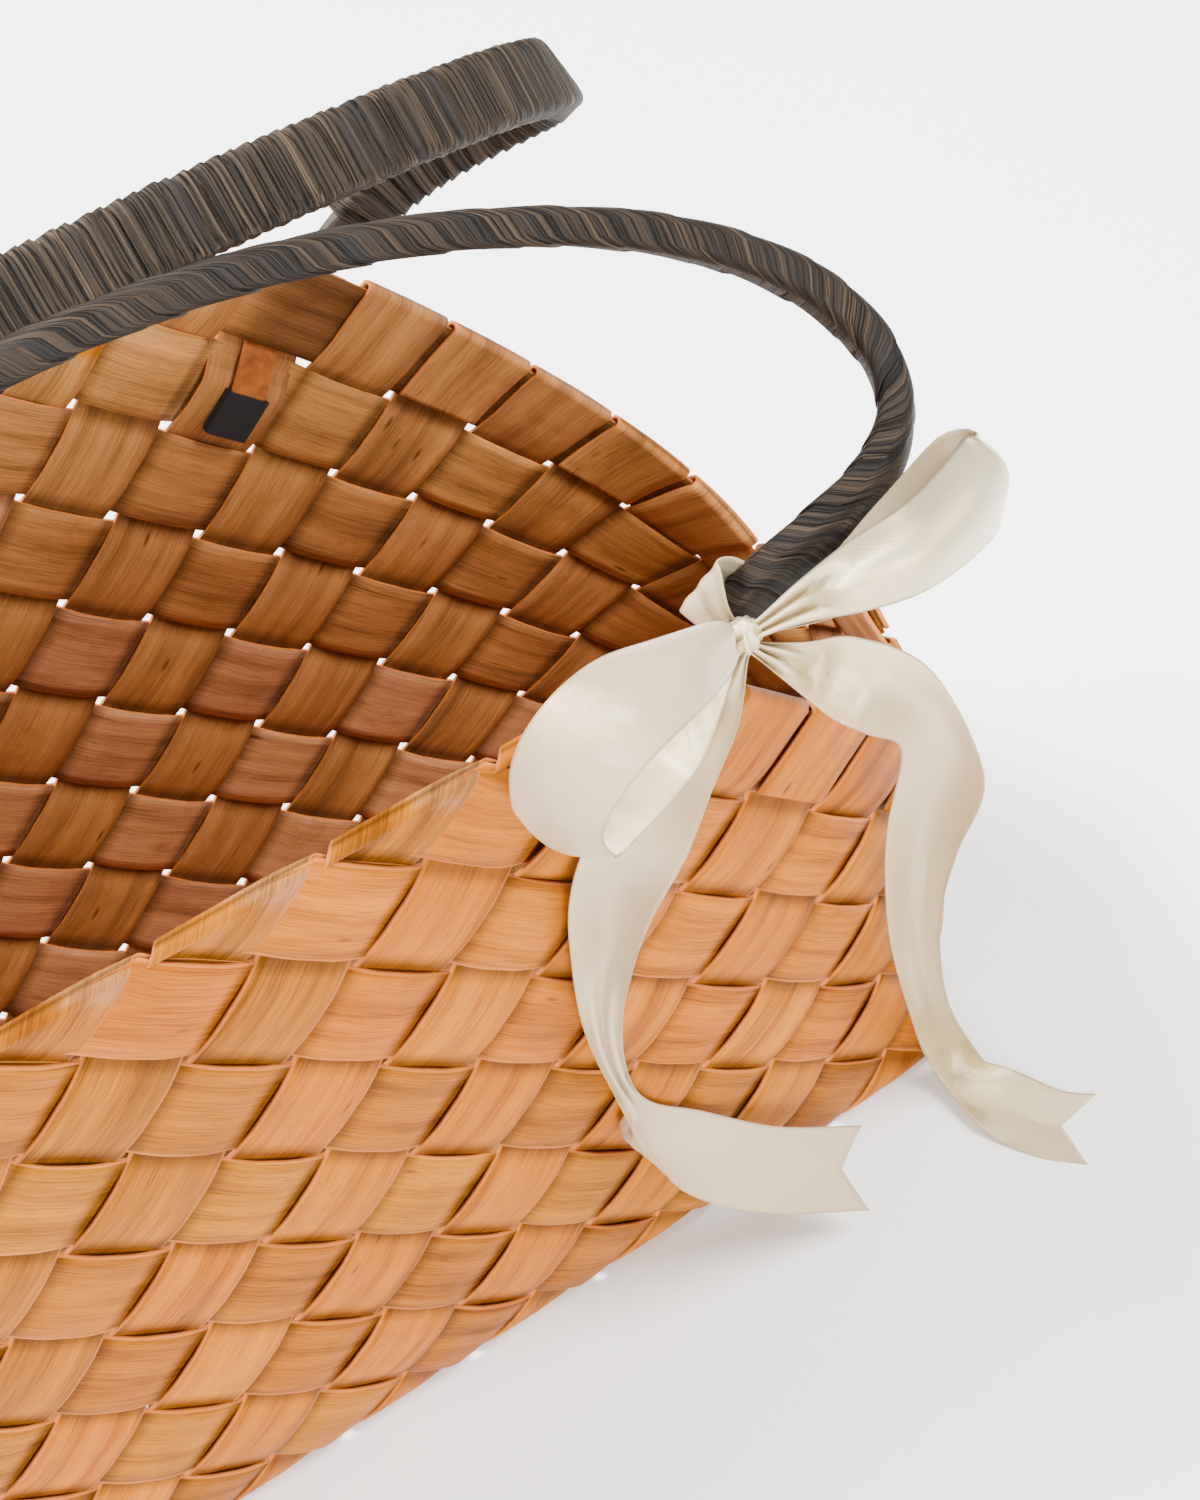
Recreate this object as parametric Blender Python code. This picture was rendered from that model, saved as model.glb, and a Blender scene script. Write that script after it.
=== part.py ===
"""Foraging basket plaited on the bias from thin wood splints, with two bark-wrapped handles.

Units are metres, +Z is up. The origin is the middle of the underside. The long side runs along X.

The weave is laid out on a flat grid before it is folded. One grid step is half the diagonal of a
crossing. Crossings have grid coordinates whose sum is even, and the small holes lie between them.
Splints of family "a" run along (1, -1) over the base, and those of family "b" along (1, 1).
On the wall a place is given by its distance P round the base outline and its height Q, both in
steps. A splint that climbs towards larger P is called rising, and the other kind falling. A rising
splint is outside where P is even, and a falling one where P is odd.

Each handle is one bent core whose two ends are pared to flat tangs. A tang slides down between the
splints, a tape sleeve covers its end, and one bark strip is wound round the core. The ribbon is a
band round the near handle's right leg, a knot in front of it, two loops and two tails.
"""

import math

import bmesh
import bpy
from mathutils import Vector

# Splints. The space between two neighbours leaves the small holes of the weave
SPLINT_WIDTH = 0.0225
SPLINT_SPACE = 0.0025
SPLINT_THICKNESS = 0.0009
LAYER_AIR = 0.0008
BORDER_AIR = 0.0007

# Basket, counted in grid steps
BASE_HALF_LENGTH_STEPS = 9
BASE_HALF_WIDTH_STEPS = 4
RIM_STEPS = 12
FOOT_STEP = 5
NOTCH_STEP = 11

# Basket walls. The rim stands outside the base's long sides by the flare
RIM_FLARE = 0.0043
RIM_SQUARENESS = 4.0
BASE_ROUND_STEPS = 3.0
BASE_ROUND_POWER = 2.5
END_SETTLE_SHARE = 0.21
OUTLINE_SAMPLES = 160

# Handle cores
NEAR_CORE_WIDTH = 0.0090
FAR_CORE_WIDTH = 0.0108
CORE_THICKNESS = 0.0030
CORE_CHAMFER = 0.0005
HANDLE_SWELL = 0.0362
HANDLE_RISE = 0.0992
HANDLE_SHOULDER = 0.0273
NEAR_SWAY = 0.0110
FAR_SWAY = 0.0065
HANDLE_FULLNESS = 1.85
NEAR_LEAN = math.radians(36.0)
FAR_LEAN = math.radians(43.5)
TWIST_LENGTH = 0.1050
SHOULDER_RINGS = 10
ARCH_RINGS = 12

# Tangs at the ends of the cores
TANG_WIDTH = 0.0100
TANG_THICKNESS = 0.0012
TANG_SEAT = 0.0004

# Black tape on each tang
TAPE_THICKNESS = 0.0004

# Bark strip wound round each handle
WRAP_TURNS = 24
WRAP_POINTS_PER_TURN = 8
WRAP_THICKNESS = 0.0006
WRAP_SEAT = 0.0014
WRAP_SPACE = 0.0009
WRAP_FIRST = 0.0125

# Ribbon
RIBBON_WIDTH = 0.0205
RIBBON_THICKNESS = 0.0008
RIBBON_SEAT = 0.0004
BOW_SIZE = 0.0250
BAND_POINTS = 20
KNOT_POINTS = 12
KNOT_RINGS = 7

COLOURS = {
    "a": (0.62, 0.33, 0.15),
    "b": (0.66, 0.38, 0.18),
    "core": (0.20, 0.15, 0.11),
    "bark": (0.055, 0.042, 0.033),
    "tape": (0.012, 0.012, 0.013),
    "ribbon": (0.86, 0.81, 0.70),
}

# Shares of the splint pitch at cut, folded and lapped ends
TANG_LAP_SHARE = 0.10
WRAP_OVER_SHARE = 0.07
WRAP_ROUND_SHARE = 0.45
FOLD_RISE_SHARE = 0.12
CUT_BACK_SHARE = 0.02
CUT_BACK_LAYER_SHARE = 0.20
CUT_DROP_SHARE = 0.10
CORNER_PINCH_SHARE = 0.82
CORNER_REACH_STEPS = 0.25
TOUCH = 1e-6

# Shares of the splint pitch along a handle leg, measured from the crossing where the tang ends
LEG_TIP_SHARE = -0.35
TAPE_END_SHARE = 0.05
RIM_SHARE = 2.0
CORE_START_SHARE = 1.80
BEND_SHARE = 0.40

# Ribbon band, as shares of the bow size
BAND_PLACE_SHARE = 0.15
BAND_SHIFT_SHARE = 0.12
BAND_HALF_ACROSS_SHARE = 0.46
BAND_HALF_DEEP_SHARE = 0.12
BAND_WIDTH_SHARE = 0.50
KNOT_PLACE_SHARES = (-0.14, 0.19)
KNOT_RADII_SHARES = (0.13, 0.12, 0.14)
NOTCH_SHARE = 0.30
CUP_LIMIT_SHARE = 0.30

# Where rows are put on each stretch of a ribbon route
ROUTE_SHARES = (0.0, 0.5)

# Ribbon routes from the knot, as shares of the bow size: a place and the width there
LEFT_LOOP_SHARES = (
    ((-0.13, -0.05, 0.09), (0.05, -0.12, -0.07)),
    ((-0.35, -0.22, 0.33), (0.12, -0.28, -0.15)),
    ((-0.65, -0.43, 0.62), (0.20, -0.42, -0.23)),
    ((-1.17, -0.73, 1.04), (0.43, -0.59, -0.27)),
    ((-1.66, -0.93, 1.19), (0.39, -0.62, -0.31)),
    ((-1.98, -0.93, 0.94), (0.36, -0.61, -0.32)),
    ((-2.05, -0.73, 0.34), (0.36, -0.59, -0.30)),
    ((-1.83, -0.33, -0.60), (0.47, -0.57, -0.25)),
    ((-1.52, -0.28, -0.53), (0.44, -0.62, -0.30)),
    ((-1.04, -0.28, -0.18), (0.42, -0.64, -0.32)),
    ((-0.50, -0.20, 0.08), (0.20, -0.35, -0.18)),
    ((-0.15, -0.03, 0.00), (0.05, -0.12, -0.07)),
)
RIGHT_LOOP_SHARES = (
    ((0.14, -0.06, 0.07), (-0.04, -0.11, -0.09)),
    ((0.43, -0.16, 0.22), (-0.08, -0.22, -0.19)),
    ((0.86, -0.30, 0.35), (-0.12, -0.40, -0.33)),
    ((1.32, -0.33, 0.36), (-0.14, -0.49, -0.40)),
    ((1.87, -0.13, 0.22), (-0.12, -0.56, -0.44)),
    ((2.32, 0.17, 0.02), (-0.13, -0.60, -0.47)),
    ((2.12, 0.25, 0.03), (-0.11, -0.57, -0.45)),
    ((1.40, 0.02, 0.08), (-0.15, -0.50, -0.41)),
    ((0.74, -0.06, 0.03), (-0.08, -0.29, -0.24)),
    ((0.16, 0.00, 0.00), (-0.03, -0.09, -0.08)),
)
RIGHT_TAIL_SHARES = (
    ((0.07, -0.08, -0.13), (-0.09, -0.06, -0.05)),
    ((0.30, -0.33, -0.26), (-0.22, -0.24, -0.22)),
    ((0.53, -0.55, -0.36), (-0.42, -0.31, -0.37)),
    ((0.87, -0.73, -0.72), (-0.65, 0.00, -0.22)),
    ((1.27, -0.73, -1.78), (-0.44, 0.50, 0.21)),
    ((1.29, -0.43, -3.17), (-0.40, 0.44, 0.17)),
    ((1.35, -0.23, -4.25), (-0.36, 0.35, 0.13)),
    ((1.47, -0.08, -5.39), (-0.34, 0.29, 0.10)),
    ((1.71, 0.02, -6.78), (-0.34, 0.22, 0.04)),
)
RIGHT_TAIL_FLOOR_SHARES = (
    ((2.05, 0.02, 0.45), (-0.45, 0.30, -0.02)),
    ((2.24, -0.31, 0.08), (-0.60, -0.50, 0.00)),
    ((2.52, -0.82, 0.00), (-0.66, -0.45, 0.00)),
    ((2.83, -1.13, 0.00), (-0.60, -0.54, 0.00)),
)
LEFT_TAIL_SHARES = (
    ((-0.09, -0.07, -0.11), (0.09, -0.08, -0.04)),
    ((-0.44, -0.16, -0.40), (0.30, -0.33, -0.13)),
    ((-0.87, -0.21, -0.86), (0.52, -0.40, -0.11)),
    ((-1.27, -0.26, -1.38), (0.71, -0.42, -0.06)),
    ((-1.54, -0.23, -1.95), (0.48, -0.42, -0.13)),
    ((-1.67, -0.18, -2.62), (0.34, -0.36, -0.14)),
    ((-1.74, -0.13, -3.54), (0.27, -0.18, -0.03)),
    ((-1.68, -0.13, -4.48), (0.18, -0.02, 0.05)),
    ((-1.45, -0.13, -5.54), (0.19, 0.37, 0.33)),
    ((-1.08, -0.18, -6.29), (0.38, 0.50, 0.49)),
    ((-0.40, -0.33, -7.11), (0.40, 0.53, 0.52)),
    ((0.59, -0.43, -7.97), (0.28, 0.63, 0.55)),
)

SPLINT_PITCH = SPLINT_WIDTH + SPLINT_SPACE
STEP = SPLINT_PITCH / math.sqrt(2.0)
HALF_BAND = 0.5 * SPLINT_WIDTH / SPLINT_PITCH
OUTLINE_STEPS = 4 * (BASE_HALF_LENGTH_STEPS + BASE_HALF_WIDTH_STEPS)
END_STEP = BASE_HALF_LENGTH_STEPS + BASE_HALF_WIDTH_STEPS
RIM_HALF_WIDTH = BASE_HALF_WIDTH_STEPS * STEP + RIM_FLARE
HANDLE_REACH = (FOOT_STEP + 1) * STEP + HANDLE_SWELL
PLAIN_OFFSET = 0.5 * (SPLINT_THICKNESS + LAYER_AIR)
BORDER_OFFSET = SPLINT_THICKNESS + BORDER_AIR
TANG_ROOM_OFFSET = 0.5 * (SPLINT_THICKNESS + TANG_THICKNESS) + TAPE_THICKNESS + 2.0 * TANG_SEAT
TANG_INSIDE_OFFSET = (TANG_ROOM_OFFSET + 0.5 * (SPLINT_THICKNESS + TANG_THICKNESS)
                      + TAPE_THICKNESS + 2.0 * TANG_SEAT)
UNDERSIDE = PLAIN_OFFSET + 0.5 * SPLINT_THICKNESS

# Places along a leg as shares of the pitch. Each has the tang's distance outside the wall's
# middle, as a share of the border's offset and a share of the inside offset
RISING_TANG_SHARES = (
    (LEG_TIP_SHARE, 0.0, 0.0), (TAPE_END_SHARE, 0.0, 0.0), (0.38, 0.0, 0.0), (0.54, -1.0, 0.0),
    (1.00, -1.0, 0.0), (1.45, -1.0, 0.0), (RIM_SHARE, 0.0, 0.0),
)
FALLING_TANG_SHARES = (
    (LEG_TIP_SHARE, 0.0, -1.0), (0.10, 0.0, -1.0), (0.45, -0.2, 0.0), (0.55, 1.0, 0.0),
    (1.00, 1.0, 0.0), (1.45, 1.0, 0.0), (RIM_SHARE, 0.0, 0.0),
)


def clear_scene():
    """Remove everything that the scene holds."""
    for item in list(bpy.data.objects):
        bpy.data.objects.remove(item, do_unlink=True)


def material(name, roughness=0.6):
    """Return the plain material of a finish, made once."""
    found = bpy.data.materials.get(name)
    if found:
        return found
    made = bpy.data.materials.new(name)
    made.use_nodes = True
    shader = made.node_tree.nodes["Principled BSDF"]
    shader.inputs["Base Color"].default_value = (*COLOURS[name], 1.0)
    shader.inputs["Roughness"].default_value = roughness
    return made


def add_object(name, mesh, finish, thickness=0.0):
    """Add a mesh as a named piece, given a wall thickness about its middle where one is stated."""
    mesh.materials.append(material(finish))
    item = bpy.data.objects.new(name, mesh)
    bpy.context.collection.objects.link(item)
    if thickness:
        wall = item.modifiers.new("thickness", "SOLIDIFY")
        wall.thickness = thickness
        wall.offset = 0.0
    return item


def mesh_from_rings(name, rings, closed_ring=False, caps=False, closed_path=False):
    """Join rows of points into a strip, or into a tube where each row closes on itself.

    A closed path also joins the last row to the first, as in a sleeve.
    """
    shape = bmesh.new()
    rows = [[shape.verts.new(point) for point in ring] for ring in rings]
    count = len(rows[0])
    pairs = list(zip(rows, rows[1:]))
    if closed_path:
        pairs.append((rows[-1], rows[0]))
    for low, high in pairs:
        for k in range(count if closed_ring else count - 1):
            n = (k + 1) % count
            shape.faces.new((low[k], low[n], high[n], high[k]))
    if caps:
        shape.faces.new(tuple(reversed(rows[0])))
        shape.faces.new(tuple(rows[-1]))
    bmesh.ops.recalc_face_normals(shape, faces=shape.faces)
    mesh = bpy.data.meshes.new(name)
    shape.to_mesh(mesh)
    shape.free()
    return mesh


def rim_quarter():
    """Return one quarter of the rim's plan outline as (distance, x, y), from mid side to end."""

    def trace(half_length):
        points = [(0.0, 0.0, RIM_HALF_WIDTH)]
        for k in range(1, OUTLINE_SAMPLES + 1):
            turn = 0.5 * math.pi * k / OUTLINE_SAMPLES
            power = 2.0 / RIM_SQUARENESS
            x = half_length * math.sin(turn) ** power
            y = RIM_HALF_WIDTH * max(math.cos(turn), 0.0) ** power
            travel = points[-1][0] + math.hypot(x - points[-1][1], y - points[-1][2])
            points.append((travel, x, y))
        return points

    low = END_STEP * STEP - RIM_HALF_WIDTH
    high = END_STEP * STEP
    while high - low > 1e-7 * high:
        middle = 0.5 * (low + high)
        if trace(middle)[-1][0] < END_STEP * STEP:
            low = middle
        else:
            high = middle
    return trace(low)


RIM_QUARTER = rim_quarter()
RIM_HALF_LENGTH = RIM_QUARTER[-1][1]


def rim_point(distance):
    """Return the plan point of the rim at a distance from mid side, in the first quarter."""
    distance = min(distance, RIM_QUARTER[-1][0])
    low, high = 0, len(RIM_QUARTER) - 1
    while high - low > 1:
        middle = (low + high) // 2
        if RIM_QUARTER[middle][0] <= distance:
            low = middle
        else:
            high = middle
    start, end = RIM_QUARTER[low], RIM_QUARTER[high]
    share = (distance - start[0]) / (end[0] - start[0])
    return start[1] + share * (end[1] - start[1]), start[2] + share * (end[2] - start[2])


def wall_point(p, q):
    """Return the middle of the wall at P steps round and Q steps up."""
    p = (p + END_STEP) % OUTLINE_STEPS - END_STEP
    side = -1.0
    if p > END_STEP:
        p = 2 * END_STEP - p
        side = 1.0
    along = math.copysign(1.0, p)
    distance = abs(p) * STEP
    rim_x, rim_y = rim_point(distance)
    base_x = min(distance, BASE_HALF_LENGTH_STEPS * STEP)
    base_y = BASE_HALF_WIDTH_STEPS * STEP - max(distance - BASE_HALF_LENGTH_STEPS * STEP, 0.0)
    share = 1.0 - (1.0 - min(max(q / BASE_ROUND_STEPS, 0.0), 1.0)) ** BASE_ROUND_POWER
    x = base_x + share * (rim_x - base_x)
    y = base_y + share * (rim_y - base_y)
    z = q * STEP * (1.0 - END_SETTLE_SHARE * (x / RIM_HALF_LENGTH) ** 4)
    return Vector((along * x, side * y, z))


def mitred_normal(p, q):
    """Return the wall's outward normal, lengthened where the wall turns, as a mitre is."""
    reach = 2.0 * HALF_BAND
    up = wall_point(p, q + reach) - wall_point(p, max(q - reach, 0.0))
    before = (wall_point(p, q) - wall_point(p - reach, q)).cross(up).normalized()
    after = (wall_point(p + reach, q) - wall_point(p, q)).cross(up).normalized()
    return (before + after) / (1.0 + before.dot(after))


def unfold(edge, x, y):
    """Return the wall place (P, Q) of a flat grid place, for a splint that leaves by an edge."""
    if edge == "near":
        return x, -BASE_HALF_WIDTH_STEPS - y
    if edge == "right":
        return END_STEP + y, x - BASE_HALF_LENGTH_STEPS
    if edge == "far":
        return 2 * END_STEP - x, y - BASE_HALF_WIDTH_STEPS
    return 3 * END_STEP - y, -BASE_HALF_LENGTH_STEPS - x


def on_wall(p, q, layer):
    """Return a point of the wall, a layer's distance outside its middle."""
    return wall_point(p, q) + mitred_normal(p, q) * layer + Vector((0.0, 0.0, UNDERSIDE))


def on_basket(edge, x, y, layer):
    """Return a point of the base, of its folded edge or of the wall, on a layer."""
    p, q = unfold(edge, x, y)
    if q > TOUCH:
        return on_wall(p, q, layer)
    down = Vector((0.0, 0.0, -1.0))
    if q < -TOUCH:
        return Vector((x * STEP, y * STEP, UNDERSIDE)) + down * layer
    outward = mitred_normal(p, 0.0)
    mitre = (outward + down) / (1.0 + outward.dot(down))
    return wall_point(p, 0.0) + mitre * layer + Vector((0.0, 0.0, UNDERSIDE))


def long_side_place(p):
    """Return the signed distance in steps from the middle of the nearer long side."""
    return (p + END_STEP) % (2 * END_STEP) - END_STEP


def near_base_corner(p, q):
    """Tell whether a place touches the hole at a corner of the base."""
    from_corner = abs(abs(long_side_place(p)) - BASE_HALF_LENGTH_STEPS)
    return from_corner + abs(q) < CORNER_REACH_STEPS


def top_row(p):
    """Return the row of the highest whole crossing above a place round the outline."""
    x = abs(long_side_place(p))
    if x <= FOOT_STEP:
        return RIM_STEPS - 1 if x % 2 == 1 else RIM_STEPS - 2
    if x <= NOTCH_STEP:
        return FOOT_STEP + RIM_STEPS - 1 - x
    return x + FOOT_STEP + RIM_STEPS - 1 - 2 * NOTCH_STEP


def is_rim_fold(p, q):
    """Tell whether a crossing is cut in half by the level rim."""
    return q == RIM_STEPS and abs(long_side_place(p)) < FOOT_STEP


def is_foot(p, q):
    """Tell whether a handle leg goes through a crossing."""
    return q == RIM_STEPS - 1 and abs(long_side_place(p)) == FOOT_STEP


def is_border(p, q):
    """Tell whether a crossing lies on a splint that edges the sloping rim."""
    x = abs(long_side_place(p))
    return x >= FOOT_STEP and x != NOTCH_STEP and q == top_row(p)


def border_rises(p):
    """Tell whether the splint that edges the rim here is a rising one."""
    place = long_side_place(p)
    if abs(place) < NOTCH_STEP:
        return place < 0
    return NOTCH_STEP < place < END_STEP


def layer_of(p, q, outside, rising):
    """Return how far outside the middle of the wall a splint lies at a crossing."""
    x = abs(long_side_place(p))
    side = 1.0 if outside else -1.0
    if is_border(p, q):
        return 0.0 if rising == border_rises(p) else side * BORDER_OFFSET
    if is_rim_fold(p, q):
        return BORDER_OFFSET if rising else 0.0
    if q == RIM_STEPS - 1 and x < FOOT_STEP:
        return side * BORDER_OFFSET
    if q == RIM_STEPS - 2 and x == FOOT_STEP - 1:
        return side * TANG_ROOM_OFFSET
    return side * PLAIN_OFFSET


class Splint:
    """One splint of the weave, followed on the flat grid from the middle of the base outwards."""

    def __init__(self, family, line):
        self.family = family
        self.line = line
        self.run = (1, -1) if family == "a" else (1, 1)
        self.across = (1, 1) if family == "a" else (1, -1)

    def centre(self, k):
        """Return the flat grid place of crossing k."""
        return k, (self.line - k) if self.family == "a" else (k - self.line)

    def edge(self, heading):
        """Return the base edge by which the splint leaves, and the crossing on that edge."""
        if heading > 0:
            reach = self.line + BASE_HALF_WIDTH_STEPS
            if reach > BASE_HALF_LENGTH_STEPS:
                return "right", BASE_HALF_LENGTH_STEPS
            return ("near" if self.family == "a" else "far"), reach
        reach = self.line - BASE_HALF_WIDTH_STEPS
        if reach < -BASE_HALF_LENGTH_STEPS:
            return "left", -BASE_HALF_LENGTH_STEPS
        return ("far" if self.family == "a" else "near"), reach

    def arm(self, heading, start):
        """Return the rows of points from a crossing outwards to the splint's end."""
        edge = self.edge(heading)[0]

        def spot(k, along, across, layer):
            x, y = self.centre(k)
            x += heading * along * self.run[0] + across * self.across[0]
            y += heading * along * self.run[1] + across * self.across[1]
            return on_basket(edge, x, y, layer), unfold(edge, x, y)

        def row(k, along, layer):
            ends = []
            for across in (-HALF_BAND, HALF_BAND):
                found = spot(k, along, across, layer)
                if near_base_corner(*found[1]):
                    pinch = CORNER_PINCH_SHARE
                    found = spot(k, along * pinch, across * pinch, layer)
                ends.append(found)
            return ends

        def place(k):
            return unfold(edge, *self.centre(k))

        rows = []
        k = start
        rising = place(k + heading)[0] > place(k)[0]
        while True:
            p, q = place(k)
            outside = (k % 2 == 0) == (self.family == "a")
            layer = PLAIN_OFFSET if outside else -PLAIN_OFFSET
            if q > 0:
                layer = layer_of(p, q, outside, rising)
            next_p, next_q = place(k + heading)
            tang_next = is_foot(next_p, next_q) and rising != border_rises(next_p)
            rows.append(row(k, -HALF_BAND, layer))
            rows.append(row(k, TANG_LAP_SHARE if tang_next else HALF_BAND, layer))
            if tang_next:
                return rows
            if next_q > 0 and next_q > top_row(next_p):
                break
            k += heading
        if is_rim_fold(next_p, next_q):
            if rising:
                rows += self.folded_end(next_p, row(k + heading, -HALF_BAND, BORDER_OFFSET))
            else:
                rows += self.cut_end(k + heading, row)
        elif rising != border_rises(p):
            over = HALF_BAND + WRAP_OVER_SHARE
            rows.append(row(k, over, WRAP_ROUND_SHARE * layer))
            rows.append(row(k, over, -WRAP_ROUND_SHARE * layer))
            rows.append(row(k, HALF_BAND, -layer))
            rows.append(row(k, -HALF_BAND, -layer))
        return rows

    def folded_end(self, p, first):
        """Return the rows of an end folded over the level rim and tucked down inside."""
        half = 2.0 * HALF_BAND
        top = RIM_STEPS + FOLD_RISE_SHARE
        upper = 0 if first[0][1][1] > first[1][1][1] else 1

        def pair(high, low, layer):
            ends = [(on_wall(*high, layer), high), (on_wall(*low, layer), low)]
            return ends if upper == 0 else ends[::-1]

        left, right = (p - half, top), (p + half, top)
        rows = [first, pair(left, right, BORDER_OFFSET), pair(left, right, -BORDER_OFFSET)]
        rows.append(pair((p, RIM_STEPS - half), (p + half, RIM_STEPS), -BORDER_OFFSET))
        if long_side_place(p) + 1 < FOOT_STEP:
            low = RIM_STEPS - 1
            rows.append(pair((p + 1 - half, low), (p + 1, low + half), 0.0))
            rows.append(pair((p + 1, low - half), (p + 1 + half, low), 0.0))
        return rows

    def cut_end(self, k, row):
        """Return the rows of an end cut level just under the rim folds."""
        first = row(k, -HALF_BAND, 0.0)
        upper = 0 if first[0][1][1] > first[1][1][1] else 1
        corner = row(k, -HALF_BAND - CUT_BACK_SHARE, CUT_BACK_LAYER_SHARE * BORDER_OFFSET)[upper]
        last = row(k, HALF_BAND - CUT_DROP_SHARE, 0.0)
        first[upper] = corner
        last[upper] = corner
        return [first, last]

    def mesh(self, name):
        """Return the splint as an open sheet, creased upright across each crossing."""
        forward = self.edge(1)[1]
        backward = self.edge(-1)[1]
        middle = (forward + backward) // 2
        rows = self.arm(-1, middle)[::-1] + self.arm(1, middle + 1)
        shape = bmesh.new()
        made = {}

        def vertex(spot):
            if id(spot) not in made:
                made[id(spot)] = shape.verts.new(spot[0])
            return made[id(spot)]

        for low, high in zip(rows, rows[1:]):
            corners = [low[0], low[1], high[1], high[0]]
            if low[0] is high[0] or low[1] is high[1]:
                corners = [low[0], low[1], high[0] if low[1] is high[1] else high[1]]
                shape.faces.new([vertex(c) for c in corners])
                continue
            first = self.crease(corners)
            order = corners[first:] + corners[:first]
            shape.faces.new([vertex(c) for c in (order[0], order[1], order[2])])
            shape.faces.new([vertex(c) for c in (order[0], order[2], order[3])])
        mesh = bpy.data.meshes.new(name)
        shape.to_mesh(mesh)
        shape.free()
        return mesh

    @staticmethod
    def crease(corners):
        """Return the first of the two opposite corners that a crossing is creased between."""
        places = [c[1] for c in corners]
        level = [abs(places[i][1] - places[i + 2][1]) < TOUCH for i in (0, 1)]
        base_edge = [level[i] and abs(places[i][1]) < TOUCH for i in (0, 1)]
        if any(base_edge):
            return 0 if base_edge[0] else 1
        return 1 if level[0] else 0


def make_splints():
    """Make both families of splints."""
    for family in ("a", "b"):
        line = -(END_STEP - 1)
        number = 1
        while line <= END_STEP - 1:
            name = f"splint_{family}_{number:02d}"
            add_object(name, Splint(family, line).mesh(name), family, SPLINT_THICKNESS)
            line += 2
            number += 1


def chamfered(half_width, half_thickness, chamfer):
    """Return the eight corners of a flat bar's section, anticlockwise."""
    return [
        (half_width, -half_thickness + chamfer), (half_width, half_thickness - chamfer),
        (half_width - chamfer, half_thickness), (-half_width + chamfer, half_thickness),
        (-half_width, half_thickness - chamfer), (-half_width, -half_thickness + chamfer),
        (-half_width + chamfer, -half_thickness), (half_width - chamfer, -half_thickness),
    ]


def smooth_step(share):
    """Ease a share from 0 to 1."""
    share = min(max(share, 0.0), 1.0)
    return share * share * (3.0 - 2.0 * share)


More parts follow.
